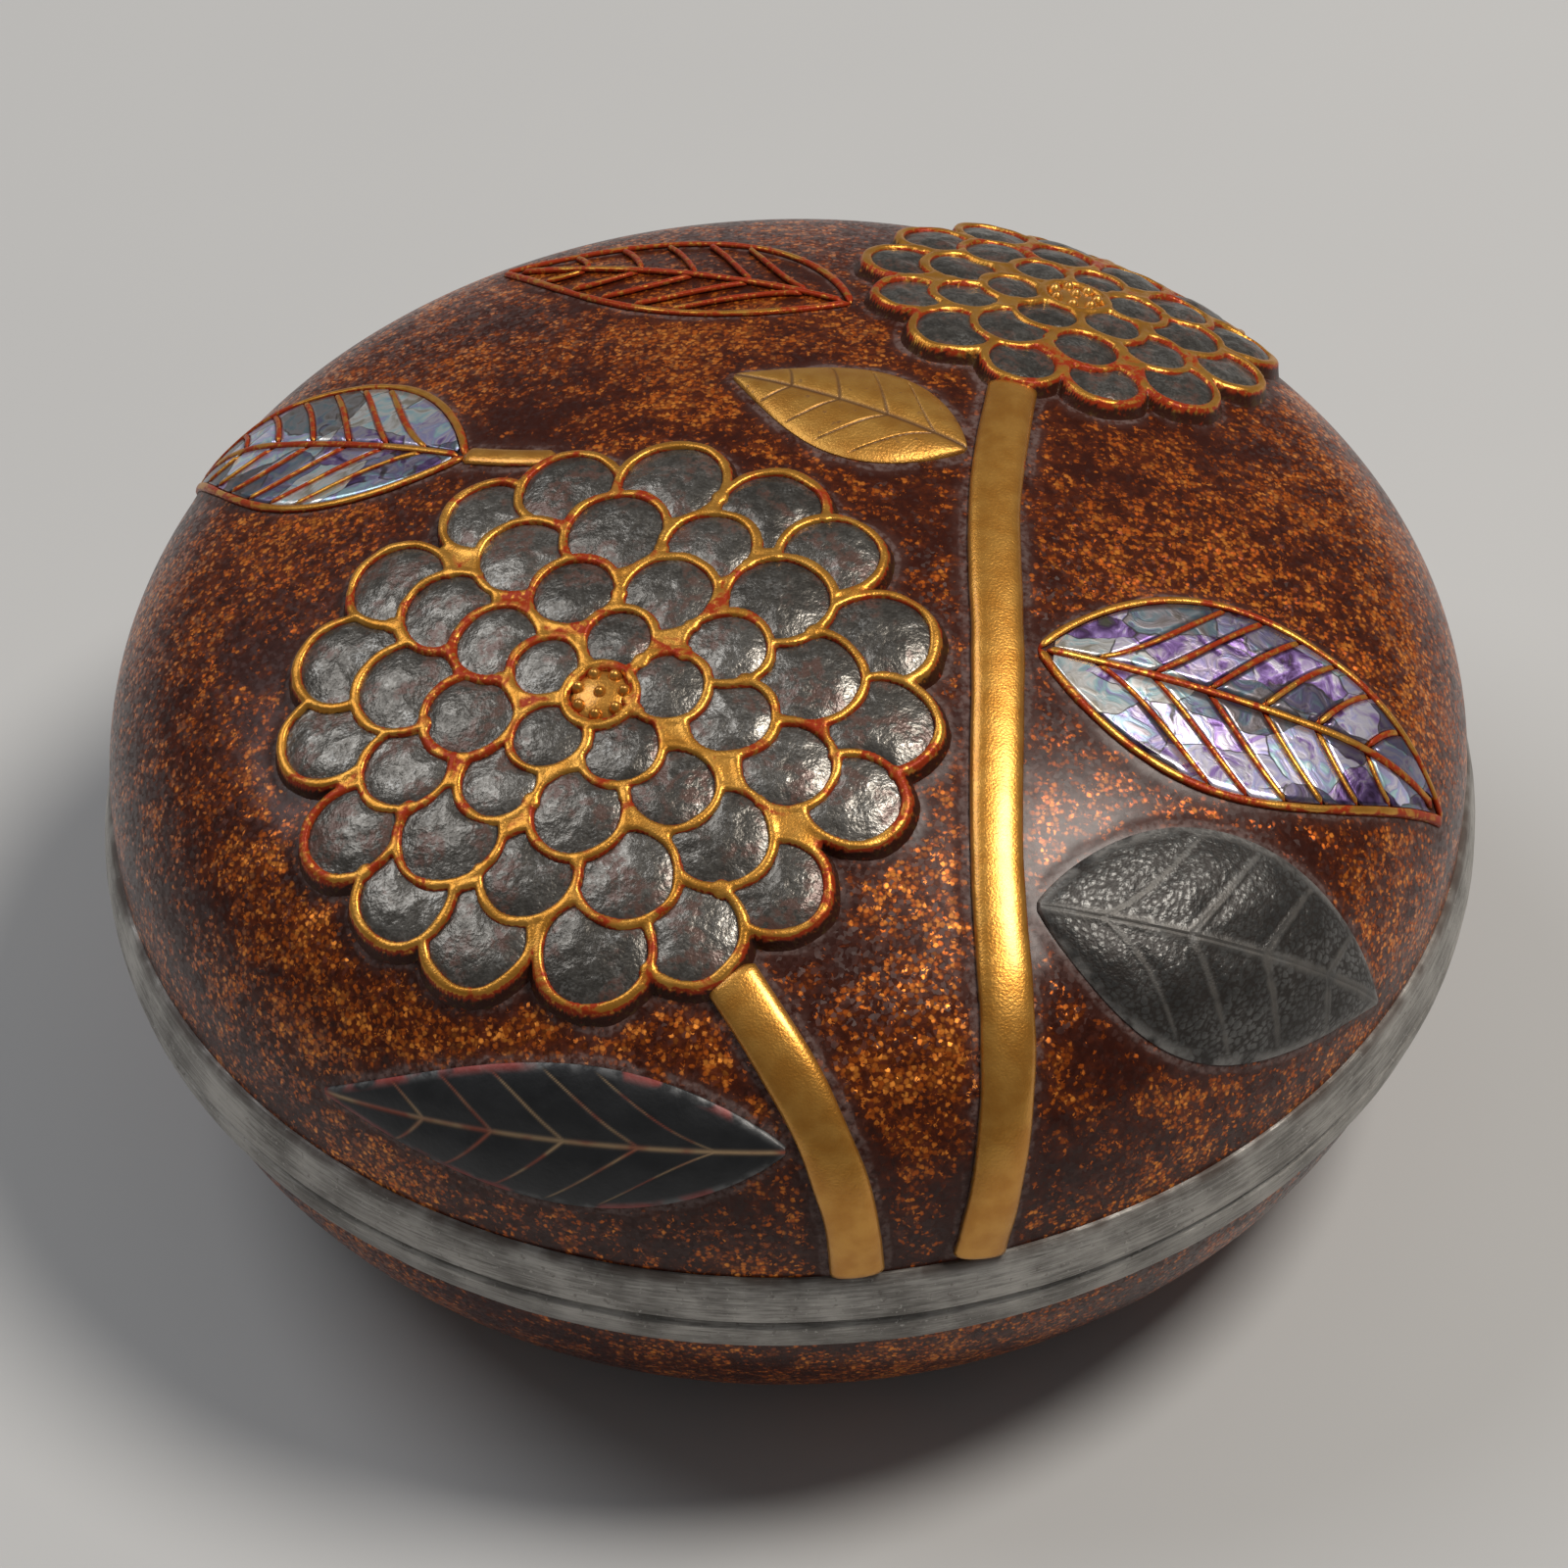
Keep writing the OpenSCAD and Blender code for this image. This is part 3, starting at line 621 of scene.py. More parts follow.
def embossed_finish():
    """Lead sheet with a leather grain, with shade painted brown-black in its lows, worn pale along veins
    and edges.
    """
    f = Finish("embossed_lead")
    crest, vein, edge = f.attribute("crest"), f.attribute("vein"), f.attribute("edge")
    mottle = f.noise(2.4, detail=4)
    # Painted shade: the lows of the grain, away from the veins, are darkened to near black.
    low = crest.step(0.5, 0.1) * (1 - vein)
    grey = f.blend(mottle.step(0.35, 0.7), (0.060, 0.058, 0.055), (0.130, 0.127, 0.121))
    colour = f.blend(0.88 * low, grey, (0.016, 0.011, 0.008))
    colour = f.blend(0.7 * vein * f.noise(0.9, detail=3).step(0.25, 0.6), colour, (0.112, 0.100, 0.088))
    worn = edge * f.noise(1.6, detail=3).step(0.36, 0.56)
    dull = low.most(vein)
    f.set(
        base_color=f.blend(0.8 * worn, colour, (0.26, 0.25, 0.235)),
        metallic=0.6 - 0.3 * dull,
        roughness=0.32 + 0.16 * dull,
        normal=f.bump(f.noise(0.13, detail=3), 0.03),
    )
    return f.material


def dark_finish():
    """Thin lead gone blue-black, with fine tan veins, grey worn edges and a red streak."""
    f = Finish("dark_lead")
    mottle = f.noise(1.6, detail=4)
    vein, edge = f.attribute("vein"), f.attribute("edge")
    worn = edge * f.noise(0.9, detail=3).step(0.38, 0.62)
    streak = edge * f.noise(3.2).step(0.52, 0.6)
    colour = f.blend(mottle, (0.017, 0.0178, 0.019), (0.050, 0.051, 0.054))
    colour = f.blend(0.8 * worn, colour, (0.17, 0.17, 0.17))
    tan = f.blend(f.noise(2.2).step(0.4, 0.6), (0.40, 0.265, 0.140), (0.30, 0.070, 0.036))
    colour = f.blend(0.9 * vein, colour, tan)
    f.set(
        base_color=f.blend(0.85 * streak, colour, (0.27, 0.030, 0.020)),
        metallic=0.6 - 0.5 * vein.most(streak),
        roughness=0.42 + 0.12 * mottle,
        normal=f.bump(f.noise(0.3, detail=3), 0.03),
    )
    return f.material


def gold_finish(name, wear, speckle, coat=0.0, foot_colour=(0.024, 0.014, 0.010)):
    """Gold powder on raised lacquer: red where it is worn through, another colour at its foot."""
    f = Finish(name, coat_weight=coat, coat_roughness=0.2, specular_ior_level=0.12)
    crest = f.attribute("crest")
    tone = f.noise(1.3, detail=3)
    grain = f.noise(0.13)
    gold = f.blend(tone.step(0.3, 0.7), (0.54, 0.232, 0.034), (0.66, 0.324, 0.062))
    patch = 0.55 * f.noise(1.6, detail=3, distortion=0.8) + 0.45 * f.noise(8, detail=1)
    side = 0.16 * crest.step(0.95, 0.4)
    worn = (patch - side).step(wear + 0.05, wear - 0.03) * f.noise(0.3).step(0.25, 0.5)
    foot = crest.step(0.42, 0.08) * f.noise(0.45, detail=3).step(speckle, speckle + 0.2)
    colour = f.blend(0.95 * worn, gold, (0.32, 0.022, 0.006))
    f.set(
        base_color=f.blend(0.92 * foot, colour, foot_colour),
        metallic=0.75 - 0.65 * worn.most(foot),
        roughness=0.28 + 0.14 * grain,
        normal=f.bump(grain + 0.3 * tone, 0.022),
    )
    return f.material


def gold_leaf_finish():
    """Smooth gold with veins drawn in dark lacquer."""
    f = Finish("leaf_gold")
    tone = f.noise(1.4, detail=4)
    vein = f.attribute("vein")
    speck = f.noise(0.5, detail=3).step(0.63, 0.72)
    gold = f.blend(tone.step(0.3, 0.7), (0.50, 0.224, 0.036), (0.60, 0.312, 0.064))
    f.set(
        base_color=f.blend((0.9 * vein).most(0.7 * speck), gold, (0.055, 0.020, 0.009)),
        metallic=0.7 - 0.6 * vein.most(speck),
        roughness=0.36 + 0.1 * tone,
        normal=f.bump(f.noise(0.15) - 1.5 * vein, 0.035),
    )
    return f.material


def shell_finish():
    """Slips of mother-of-pearl, each shard with its own tint and tilt, with dark cracks between."""
    f = Finish("shell_slips", coat_weight=0.5, coat_roughness=0.1)
    stretched = f.vector("MULTIPLY", f.shaken(2.2, 1.3), (0.6, 1.15, 1.0))
    shard = f.cells(3.0, stretched)
    gap = f.cells(3.0, stretched, feature="DISTANCE_TO_EDGE")
    crack = gap.step(0.022, 0.006) * f.noise(1.1).step(0.36, 0.5)
    chance, tone, _ = f.split(shard["Color"])
    drift = f.noise(1.7, detail=3, distortion=1.6)
    tint = f.ramp(
        0.5 * chance + 0.9 * (drift - 0.22),
        (0.06, (0.20, 0.20, 0.14)), (0.2, (0.15, 0.07, 0.22)), (0.33, (0.48, 0.31, 0.76)),
        (0.44, (0.90, 0.86, 0.96)), (0.54, (0.58, 0.55, 0.92)), (0.62, (0.56, 0.87, 0.92)),
        (0.72, (0.95, 0.94, 0.93)), (0.86, (0.50, 0.46, 0.38)),
    )
    depth = f.blend(tone.step(0.16, 0.68), (0.11, 0.080, 0.115), (1, 1, 1))
    colour = f.blend(0.85, tint, depth, "MULTIPLY")
    f.set(
        base_color=f.blend(0.9 * crack, colour, (0.020, 0.012, 0.012)),
        metallic=0.85 - 0.7 * crack,
        roughness=0.24 + 0.2 * drift,
        normal=f.tilted(shard["Color"], 0.3, f.bump(drift, 0.06)),
    )
    return f.material


def lip_finish():
    """Black lacquer, a little uneven, with its edge rubbed brown."""
    f = Finish("lip_lacquer", coat_weight=0.7, coat_roughness=0.12)
    cloud = f.noise(4, detail=3)
    z = f.split(f.mm)[2]
    rubbed = z.step(LIP_HIGH_Z / MM - 0.7, LIP_HIGH_Z / MM) * f.noise(1.1, detail=3).step(0.4, 0.65)
    colour = f.blend(cloud, (0.010, 0.0075, 0.0065), (0.026, 0.018, 0.014))
    f.set(
        base_color=f.blend(0.7 * rubbed, colour, (0.075, 0.030, 0.014)),
        roughness=0.3 + 0.2 * rubbed,
        normal=f.bump(f.noise(1.5), 0.02),
    )
    return f.material


# Blooms: a circle is its middle and its radius

PETAL_TUCK = 0.5 * LINE_W
PETAL_PROBES = 24
PETAL_SIDES = 60
PETAL_STEPS = 36
PETAL_ROUND = 2.6
PETAL_DENT = 0.055 * MM
PETAL_TILT = 0.16 * MM
DENT_FADE = 4
LEAN_STEP = 0.37
TONE_STEP = 0.61
NET_PITCH = 0.12 * MM
NET_MARGIN = 0.4 * MM
NET_FALL = 2.2
NET_BLEND = 0.05 * MM
NET_SWAY = 0.16 * MM
NET_FILL = 0.94
NET_SLIM = 0.88
NET_ROUND = 4
BLOB_R = 0.52 * MM
BOSS_SIDES = 40
STAMEN_SIDES = 20
KNOB_ROUND = 0.8
FOOT_PROBES = 60

# Points along the foot of the relief, gathered while its pieces are made
relief_feet = []


class Bloom(Drawing):
    """Rings of round petals, each tucked under the rings inside it and under the petal before it."""

    def __init__(self, place, rings):
        super().__init__(place)
        self.rings = [
            [self.petal(ring, i, *sizes) for i in range(sizes[0])]
            for ring, sizes in enumerate(rings)
        ]
        self.heart = np.array([0, 0, HEART_R * UNIT])
        self.filled_r = rings[-1][1] * UNIT

    @staticmethod
    def petal(ring, i, count, ring_r, petal_r):
        sway = PETAL_SWAY * math.sin(math.radians(SWAY_STEP * (i + 1) * (ring + 2)))
        angle = math.radians((i + ring / 2) * 360 / count + sway)
        size = 1 + PETAL_VARY * math.sin(math.radians(VARY_STEP * (i + 2) * (ring + 1)))
        return np.array([ring_r * math.cos(angle), ring_r * math.sin(angle), petal_r * size]) * UNIT

    def covers(self, ring, i):
        """What lies over a petal and reaches it."""
        own = self.rings[ring][i]
        over = [self.heart] + [petal for inner in self.rings[:ring] for petal in inner]
        if i > 0:
            over.append(self.rings[ring][i - 1])
        if i == len(self.rings[ring]) - 1:
            over.append(self.rings[ring][0])
        return [cover for cover in over if apart(cover[:2], own) < cover[2] + own[2]]

    def petals(self):
        for ring, petals in enumerate(self.rings):
            for i, petal in enumerate(petals):
                yield petal, self.covers(ring, i)


def petal_middle(petal, covers):
    """A point well inside the part of a petal that shows."""
    way = ways_round(PETAL_PROBES)
    shares = np.linspace(0, 0.9, PETAL_PROBES)
    tries = np.concatenate([petal[:2] + way * petal[2] * share for share in shares])
    room = petal[2] - LINE_W - apart(tries, petal)
    for cover in covers:
        room = np.minimum(room, apart(tries, cover) - cover[2])
    return tries[np.argmax(room)]


def passing(middle, way, circle):
    """How far along lines from a middle a circle lies, and the square of half the way through it."""
    to_circle = circle[:2] - middle
    along = way @ to_circle
    return along, (circle[2] - PETAL_TUCK) ** 2 - to_circle @ to_circle + along ** 2


def petal_reach(middle, way, petal, covers):
    """Distance from a middle to the edge of the part of a petal that shows."""
    along, through = passing(middle, way, petal)
    reach = along + np.sqrt(through)
    for cover in covers:
        along, through = passing(middle, way, cover)
        hit = along - np.sqrt(np.maximum(through, 0))
        reach = np.where((through > 0) & (hit > 0), np.minimum(reach, hit), reach)
    return reach


def add_petal(bm, ball_mesh, bloom, petal, covers, seed):
    """A hammered pillow of lead inside its gold lines."""
    start = len(bm.verts)
    bm.from_mesh(ball_mesh)
    verts = list(bm.verts)[start:]
    ball = coords(verts)
    angles = np.arctan2(ball[:, 1], ball[:, 0])
    polar = np.arccos(np.clip(ball[:, 2], -1, 1)) / QUARTER
    on_top = polar < 1 + 1e-4
    share = np.where(on_top, polar, 2 - polar)
    middle = petal_middle(petal, covers)
    way = ways(angles)
    flat = middle + way * (petal_reach(middle, way, petal, covers) * share)[:, None]
    lean = 2 * math.pi * ((LEAN_STEP * seed) % 1)
    tilt = PETAL_TILT * share * np.cos(angles - lean)
    spot = spots(flat, seed)
    dents = PETAL_DENT * (ripple(spot, 1.1, 3.1) + 0.45 * ripple(spot, 0.5, 9.4))
    crown = PETAL_EDGE + (PETAL_CROWN - PETAL_EDGE) * (1 - share ** PETAL_ROUND)
    pillow = crown + (tilt + dents) * (1 - share ** DENT_FADE)
    move(verts, bloom.laid(flat, np.where(on_top, np.minimum(pillow, LINE_TOP), BED)))
    mark(bm, "crest", verts, 1 - share)
    mark(bm, "tone", verts, np.full(len(verts), (TONE_STEP * seed) % 1))


def petal_ring(bloom, ring, name, finish):
    """One ring of petals, each shaped from a copy of the same ball."""
    ball = bmesh.new()
    bmesh.ops.create_uvsphere(ball, u_segments=PETAL_SIDES, v_segments=PETAL_STEPS, radius=1)
    ball_mesh = kept(ball, "ball")
    bm = new_mesh("crest", "tone")
    for i, petal in enumerate(bloom.rings[ring]):
        add_petal(bm, ball_mesh, bloom, petal, bloom.covers(ring, i), 7 * ring + i + 1)
    bpy.data.meshes.remove(ball_mesh)
    finished(bm, name, "lead", finish)


def soft_most(a, b):
    """The larger of two heights, with their meeting rounded off."""
    meet = np.maximum(0, 1 - np.abs(a - b) / (2 * NET_BLEND))
    return np.maximum(a, b) + 0.5 * NET_BLEND * meet ** 2


def net_blobs(bloom):
    """Drops of gold at about three of seven places where lines meet: circles of five sizes."""
    for count, (petal, covers) in enumerate(bloom.petals()):
        cover = covers[-1]
        way = cover[:2] - petal[:2]
        between = np.hypot(*way)
        petal_r, cover_r = petal[2] - LINE_W / 2, cover[2] - LINE_W / 2
        along = (between ** 2 + petal_r ** 2 - cover_r ** 2) / (2 * between)
        aside = math.sqrt(max(0, petal_r ** 2 - along ** 2))
        way = way / between
        for side in (-1, 1):
            spot = petal[:2] + way * along + side * aside * np.array([-way[1], way[0]])
            free = all(apart(spot, other) > other[2] - LINE_W for other in covers)
            if free and (5 * count + 2 * side) % 7 < 3:
                yield np.array([*spot, BLOB_R * (0.8 + 0.1 * ((3 * count + side) % 5))])


def net_height(bloom, flat):
    """Heights of the gold net: a rounded ridge round the part of each petal that shows."""
    spot = spots(flat)
    spread = NET_SLIM * (1 + 0.26 * ripple(spot, 1.5, 2.2))
    top = LINE_TOP * (0.93 + 0.07 * ripple(spot, 1.1, 5.8))
    flat = flat + NET_SWAY * np.column_stack([ripple(spot, 2.6, 11.3), ripple(spot, 2.6, 17.9)])

    def ridge_at(off):
        return LINE_FOOT + (top - LINE_FOOT) * np.sqrt(np.maximum(0, 1 - off ** NET_ROUND))

    height = np.full(len(flat), SUNK)
    in_petal = np.zeros(len(flat), bool)
    for petal, covers in bloom.petals():
        away = apart(flat, petal)
        in_petal |= away < petal[2] - LINE_W / 2
        off = np.abs(away - petal[2] + LINE_W / 2) / (LINE_W / 2 * spread)
        ridge = np.where(off > 1, LINE_FOOT - NET_FALL * (off - 1) * LINE_W / 2, ridge_at(off))
        for cover in covers:
            under = cover[2] - LINE_W / 2 - apart(flat, cover)
            ridge = np.where(under > 0, ridge - NET_FALL * under, ridge)
        height = soft_most(height, ridge)
    for blob in net_blobs(bloom):
        off = apart(flat, blob) / (blob[2] * spread)
        height = np.where(off < 1, soft_most(height, ridge_at(off)), height)
    from_middle = np.hypot(*flat.T)
    around_heart = np.abs(from_middle - bloom.heart[2])
    height = np.maximum(height, LINE_FOOT - NET_FALL * (around_heart - LINE_W / 2))
    bare = ~in_petal & (from_middle > bloom.heart[2]) & (from_middle < bloom.filled_r)
    height = np.where(bare, np.maximum(height, NET_FILL * top), height)
    return np.clip(height, SUNK, LINE_TOP)


def petal_net(bloom, name, finish):
    """The gold lines round all petals of a bloom as one net."""
    reach = max(np.hypot(*petal[:2]) + petal[2] for petal, _ in bloom.petals()) + NET_MARGIN
    bm = new_mesh("crest")
    squares = round(2 * reach / NET_PITCH)
    bmesh.ops.create_grid(bm, x_segments=squares, y_segments=squares, size=reach)
    height = net_height(bloom, coords(bm.verts)[:, :2])
    bm.verts.index_update()
    sunk = [face for face in bm.faces if all(height[vert.index] <= SUNK for vert in face.verts)]
    bmesh.ops.delete(bm, geom=sunk, context="FACES")
    verts, on_top = doubled(bm)
    flat = coords(verts)[:, :2]
    height = net_height(bloom, flat)
    move(verts, bloom.laid(flat, np.where(on_top, height, 2 * SUNK)))
    mark(bm, "crest", verts, np.where(on_top, eased(LINE_FOOT, LINE_TOP, height), 0))
    finished(bm, name, "gold", finish)


def add_bloom_feet(bloom):
    """Notes the outline of a bloom."""
    way = ways_round(FOOT_PROBES)
    for petal in bloom.rings[-1]:
        rim_spots = petal[:2] + way * petal[2]
        outside = np.hypot(*rim_spots.T) > bloom.filled_r
        for other in bloom.rings[-1]:
            if other is not petal:
                outside &= apart(rim_spots, other) > other[2]
        relief_feet.append(bloom.laid(rim_spots[outside], 0.0))


def add_knob(bm, bloom, middle, radius, top, sides):
    """A flattened ball on the dome."""
    verts = bmesh.ops.create_uvsphere(bm, u_segments=sides, v_segments=sides // 2, radius=1)["verts"]
    ball = coords(verts)
    flat = np.array(middle) + ball[:, :2] * radius
    rise = np.maximum(ball[:, 2], 0) ** KNOB_ROUND
    move(verts, bloom.laid(flat, BED + (top - BED) * rise))
    mark(bm, "crest", verts, rise)


def bloom_heart(bloom, name, finish):
    """A gold boss with a ring of stamens round a middle one."""
    bm = new_mesh("crest")
    boss_r = bloom.heart[2] - GLUE_GAP
    add_knob(bm, bloom, (0, 0), boss_r, BOSS_TOP, BOSS_SIDES)
    add_knob(bm, bloom, (0, 0), STAMEN_R, HEART_TOP, STAMEN_SIDES)
    ring_r = boss_r - STAMEN_INSET
    for i in range(STAMEN_COUNT):
        angle = 2 * math.pi * i / STAMEN_COUNT
        middle = (ring_r * math.cos(angle), ring_r * math.sin(angle))
        add_knob(bm, bloom, middle, STAMEN_R, STAMEN_TOP, STAMEN_SIDES)
    finished(bm, name, "gold", finish)


# Bars: gold lines and stems

BLUNT_TIP = 0.3
LINE_SIDES = 12
LINE_STEP = 0.3 * MM
LINE_ROUND = 0.4
FEWEST_RINGS = 6
MIDRIB_POINTS, EDGE_POINTS, VEIN_POINTS = 40, 60, 16
STEM_SIDES = 24
STEM_STEP = 0.4 * MM
STEM_PROBE = 0.005
STEM_END_R = 0.4 * MM
STEM_TIP = 0.7
STEM_ROUND = 0.62
STEM_SQUARE = 0.85


def add_bar(bm, rings, sides):
    """A closed bar of rings: its verts, their share along it and their angle round it."""
    start = len(bm.verts)
    made = bmesh.ops.create_cone(
        bm, cap_ends=True, cap_tris=False, segments=sides, radius1=1, radius2=1, depth=1,
    )["verts"]
    edges = dict.fromkeys(edge for vert in made for edge in vert.link_edges)
    long = [edge for edge in edges if abs(edge.verts[0].co.z - edge.verts[1].co.z) > 0.5]
    bmesh.ops.subdivide_edges(bm, edges=long, cuts=rings - 2)
    verts = list(bm.verts)[start:]
    x, y, z = coords(verts).T
    return verts, z + 0.5, np.arctan2(y, x)


def rounded_end(share, length, radius):
    """1 along a bar, falling to a blunt tip within a radius of each end."""
    from_end = np.minimum(share, 1 - share) * length / radius
    return np.maximum(BLUNT_TIP, np.sqrt(1 - (1 - np.clip(from_end, 0, 1)) ** 2))


def path_length(path):
    return np.hypot(*np.diff(path, axis=0).T).sum()


def along_path(path, share):
    """Points at shares of a path, and the directions to its left."""
    steps = np.linspace(0, 1, len(path))
    path_and_way = np.hstack([path, np.gradient(path, axis=0)])
    x, y, way_x, way_y = (np.interp(share, steps, line) for line in path_and_way.T)
    length = np.hypot(way_x, way_y)
    return np.column_stack([x, y]), np.column_stack([-way_y / length, way_x / length])


def add_line(bm, leaf, path, width, seed):
    """A rounded gold ridge along a path on a leaf's drawing."""
    length = path_length(path)
    verts, share, angle = add_bar(bm, max(FEWEST_RINGS, round(length / LINE_STEP)), LINE_SIDES)
    points, left = along_path(path, share)
    swell = rounded_end(share, length, width / 2) * (1 + 0.18 * ripple(spots(points, seed), 1.7, 4.4))
    flat = points + left * (np.cos(angle) * swell * width / 2)[:, None]
    rise = np.maximum(0, np.sin(angle)) ** LINE_ROUND * np.minimum(1, swell)
    move(verts, leaf.laid(flat, BED + (VEIN_TOP - BED) * rise))
    mark(bm, "crest", verts, rise)


def leaf_lines(leaf, veins, name, finish):
    """Two edges, a midrib and side veins in gold."""
    bm = new_mesh("crest")
    add_line(bm, leaf, leaf.midrib(MIDRIB_POINTS), VEIN_W, 1)
    out = np.linspace(0, 1, VEIN_POINTS)
    for side in (-1, 1):
        edge = leaf.edge(side, EDGE_POINTS)
        add_line(bm, leaf, edge, VEIN_W, 2 + side)
        relief_feet.append(leaf.laid(edge, 0.0))
        for i, start in enumerate(vein_starts(veins)):
            add_line(bm, leaf, leaf.leaning(start, out, side), SIDE_VEIN_W, 7 + 3 * i + side)
    finished(bm, name, "gold", finish)


def smooth_path(path, share):
    """A smooth curve through the points of a path."""
    path = np.array(path, float)
    spans = len(path) - 1
    span = np.minimum((share * spans).astype(int), spans - 1)
    t = (share * spans - span)[:, None]
    a, b = path[np.maximum(span - 1, 0)], path[span]
    c, d = path[span + 1], path[np.minimum(span + 2, spans)]
    bent = (2 * a - 5 * b + 4 * c - d) * t ** 2
    return 0.5 * (2 * b + (c - a) * t + bent + (3 * b - a - 3 * c + d) * t ** 3)


def from_foot(angle, path):
    """A path that starts at the rim, at an angle round the lid."""
    angle = math.radians(angle)
    return [(math.cos(angle) * FOOT_ARC, math.sin(angle) * FOOT_ARC), *path]


def stem(path, width, top, name, finish):
    """A raised half-round stem along a path on the field."""
    length = path_length(path) * UNIT
    bm = new_mesh("crest")
    verts, share, angle = add_bar(bm, round(length / STEM_STEP), STEM_SIDES)
    middle = dome.at(smooth_path(path, share))
    behind = dome.at(smooth_path(path, np.maximum(share - STEM_PROBE, 0)))
    ahead = dome.at(smooth_path(path, np.minimum(share + STEM_PROBE, 1)))
    across = np.cross(dome.normal(middle), ahead - behind)
    across /= np.linalg.norm(across, axis=1)[:, None]
    swell = 1 + 0.05 * ripple(middle, 3, 6.6)
    ends = np.maximum(STEM_TIP, rounded_end(share, length, STEM_END_R))
    side = np.sign(np.cos(angle)) * np.abs(np.cos(angle)) ** STEM_SQUARE
    rise = np.maximum(0, np.sin(angle)) ** STEM_ROUND * ends
    points = middle + across * (side * swell * ends * width / 2)[:, None]
    move(verts, dome.seated(points, BED + (top - BED) * rise))
    mark(bm, "crest", verts, rise)
    for edge in (-1, 1):
        relief_feet.append(middle + edge * across * width / 2)
    finished(bm, name, "gold", finish)


# Leaves: slips of shell, and leaves of one sheet

PLATE_ROWS = 12
PLATE_COLUMNS = 8
SHEET_GRID = (230, 130)
BLUNT_HALF = 0.2 * MM
GRAIN_SIZE = 0.36 * MM
GRAIN_SLOPE = 1.7
VEIN_TAPER = 0.45
VEIN_FADE = (0.97, 0.85)
EDGE_FALL = 0.75
EDGE_SQUARE = 10
FOOT_FROM = 0.999


def leaf_plates(leaf, name, finish):
    """Slips of shell between the veins of a leaf."""
    bm = bmesh.new()
    veins = vein_starts(SHELL_VEINS)
    gaps = [leaf.leaning_half(start, VEIN_W / 2 - GLUE_GAP) for start in veins]
    lows = [FIRST_PLATE, *(start + gap for start, gap in zip(veins, gaps))]
    highs = [*(start - gap for start, gap in zip(veins, gaps)), LAST_PLATE]
    for i, (low, high) in enumerate(zip(lows, highs)):
        for side in (-1, 1):
            add_plate(bm, leaf, low, high, side, 2 * i + (side > 0))
    finished(bm, name, "slips", finish)


def add_plate(bm, leaf, low, high, side, seed):
    """A slip from low to high along the midrib. The first pair starts square to it."""
    plate = bmesh.new()
    bmesh.ops.create_grid(plate, x_segments=PLATE_COLUMNS, y_segments=PLATE_ROWS, size=0.5)
    verts, on_top = doubled(plate)
    along, out = (coords(verts)[:, :2] + 0.5).T
    lean = VEIN_LEAN * (along if seed < 2 else 1)
    flat = leaf.leaning(low + (high - low) * along, out, side, lean)
    uneven = 0.12 * ripple(spots(flat, seed), 1.8, 8.2)
    move(verts, leaf.laid(flat, np.where(on_top, SHELL_TOP * (0.9 + uneven), BED)))
    bmesh.ops.recalc_face_normals(plate, faces=plate.faces)
    slip = kept(plate, "slip")
    bm.from_mesh(slip)
    bpy.data.meshes.remove(slip)


class SheetLeaf:
    """A leaf of one sheet: a closed grid over its drawing, with values along and across it."""

    def __init__(self, drawing, veins):
        self.leaf = Leaf(*drawing)
        self.bm = new_mesh("vein", "edge", "crest")
        bmesh.ops.create_grid(self.bm, x_segments=SHEET_GRID[0], y_segments=SHEET_GRID[1], size=1)
        self.verts, self.on_top = doubled(self.bm)
        place = coords(self.verts)
        low, high = self.leaf.ends(BLUNT_HALF)
        self.share = low + (high - low) * (place[:, 0] + 1) / 2
        self.across = np.sin(place[:, 1] * QUARTER)
        self.out = np.abs(self.across)
        self.half = self.leaf.half(self.share)
        self.flat = self.leaf.flat(self.share, self.across * self.half)
        self.swell = (1 - self.across ** 2) * np.sqrt(2 * self.half / self.leaf.width)
        self.starts = vein_starts(veins)

    def midrib(self, width):
        """1 on the midrib, falling away to its sides within a width in millimetres."""
        return np.exp(-(self.across * self.half / (width * MM)) ** 2)

    def veins(self, width):
        """1 on the side veins, falling away to their sides."""
        lean = VEIN_LEAN * self.out
        start = (self.share - lean) / (1 - lean)
        near = np.min([np.abs(start - vein) for vein in self.starts], axis=0) * self.leaf.length
        width = width * MM * (1 - VEIN_TAPER * self.out)
        return np.exp(-(near / width) ** 2) * eased(*VEIN_FADE, self.out)

    def lines(self, midrib_w, vein_w):
        """1 on the midrib and the side veins, falling away to their sides."""
        return np.maximum(self.midrib(midrib_w), self.veins(vein_w))

    def edge(self, width):
        """1 at the edge of the leaf, 0 a width in millimetres inside it."""
        return eased(width * MM, 0, (1 - self.out) * self.half)

    def shaped(self, height, name, slot, finish, **marks):
        """Lays the sheet over the dome, heights above its rounded edge, and makes it a piece."""
        edge = LEAF_EDGE * np.sqrt(1 - EDGE_FALL * self.out ** EDGE_SQUARE)
        height = np.maximum(edge + height, 2 * BED)
        move(self.verts, self.leaf.laid(self.flat, np.where(self.on_top, height, BED)))
        for mark_name, values in marks.items():
            mark(self.bm, mark_name, self.verts, np.where(self.on_top, values, 0))
        relief_feet.append(self.leaf.laid(self.flat[self.out > FOOT_FROM], 0.0))
        finished(self.bm, name, "sheet", finish, sharp=True)


def leather(points):
    """Grain of rounded cells, 0 in the lows between them and 1 on their tops."""
    gaps = [noise.voronoi(Vector(point) / GRAIN_SIZE)[0] for point in points]
    return np.clip([GRAIN_SLOPE * (second - first) for first, second, *_ in gaps], 0, 1)


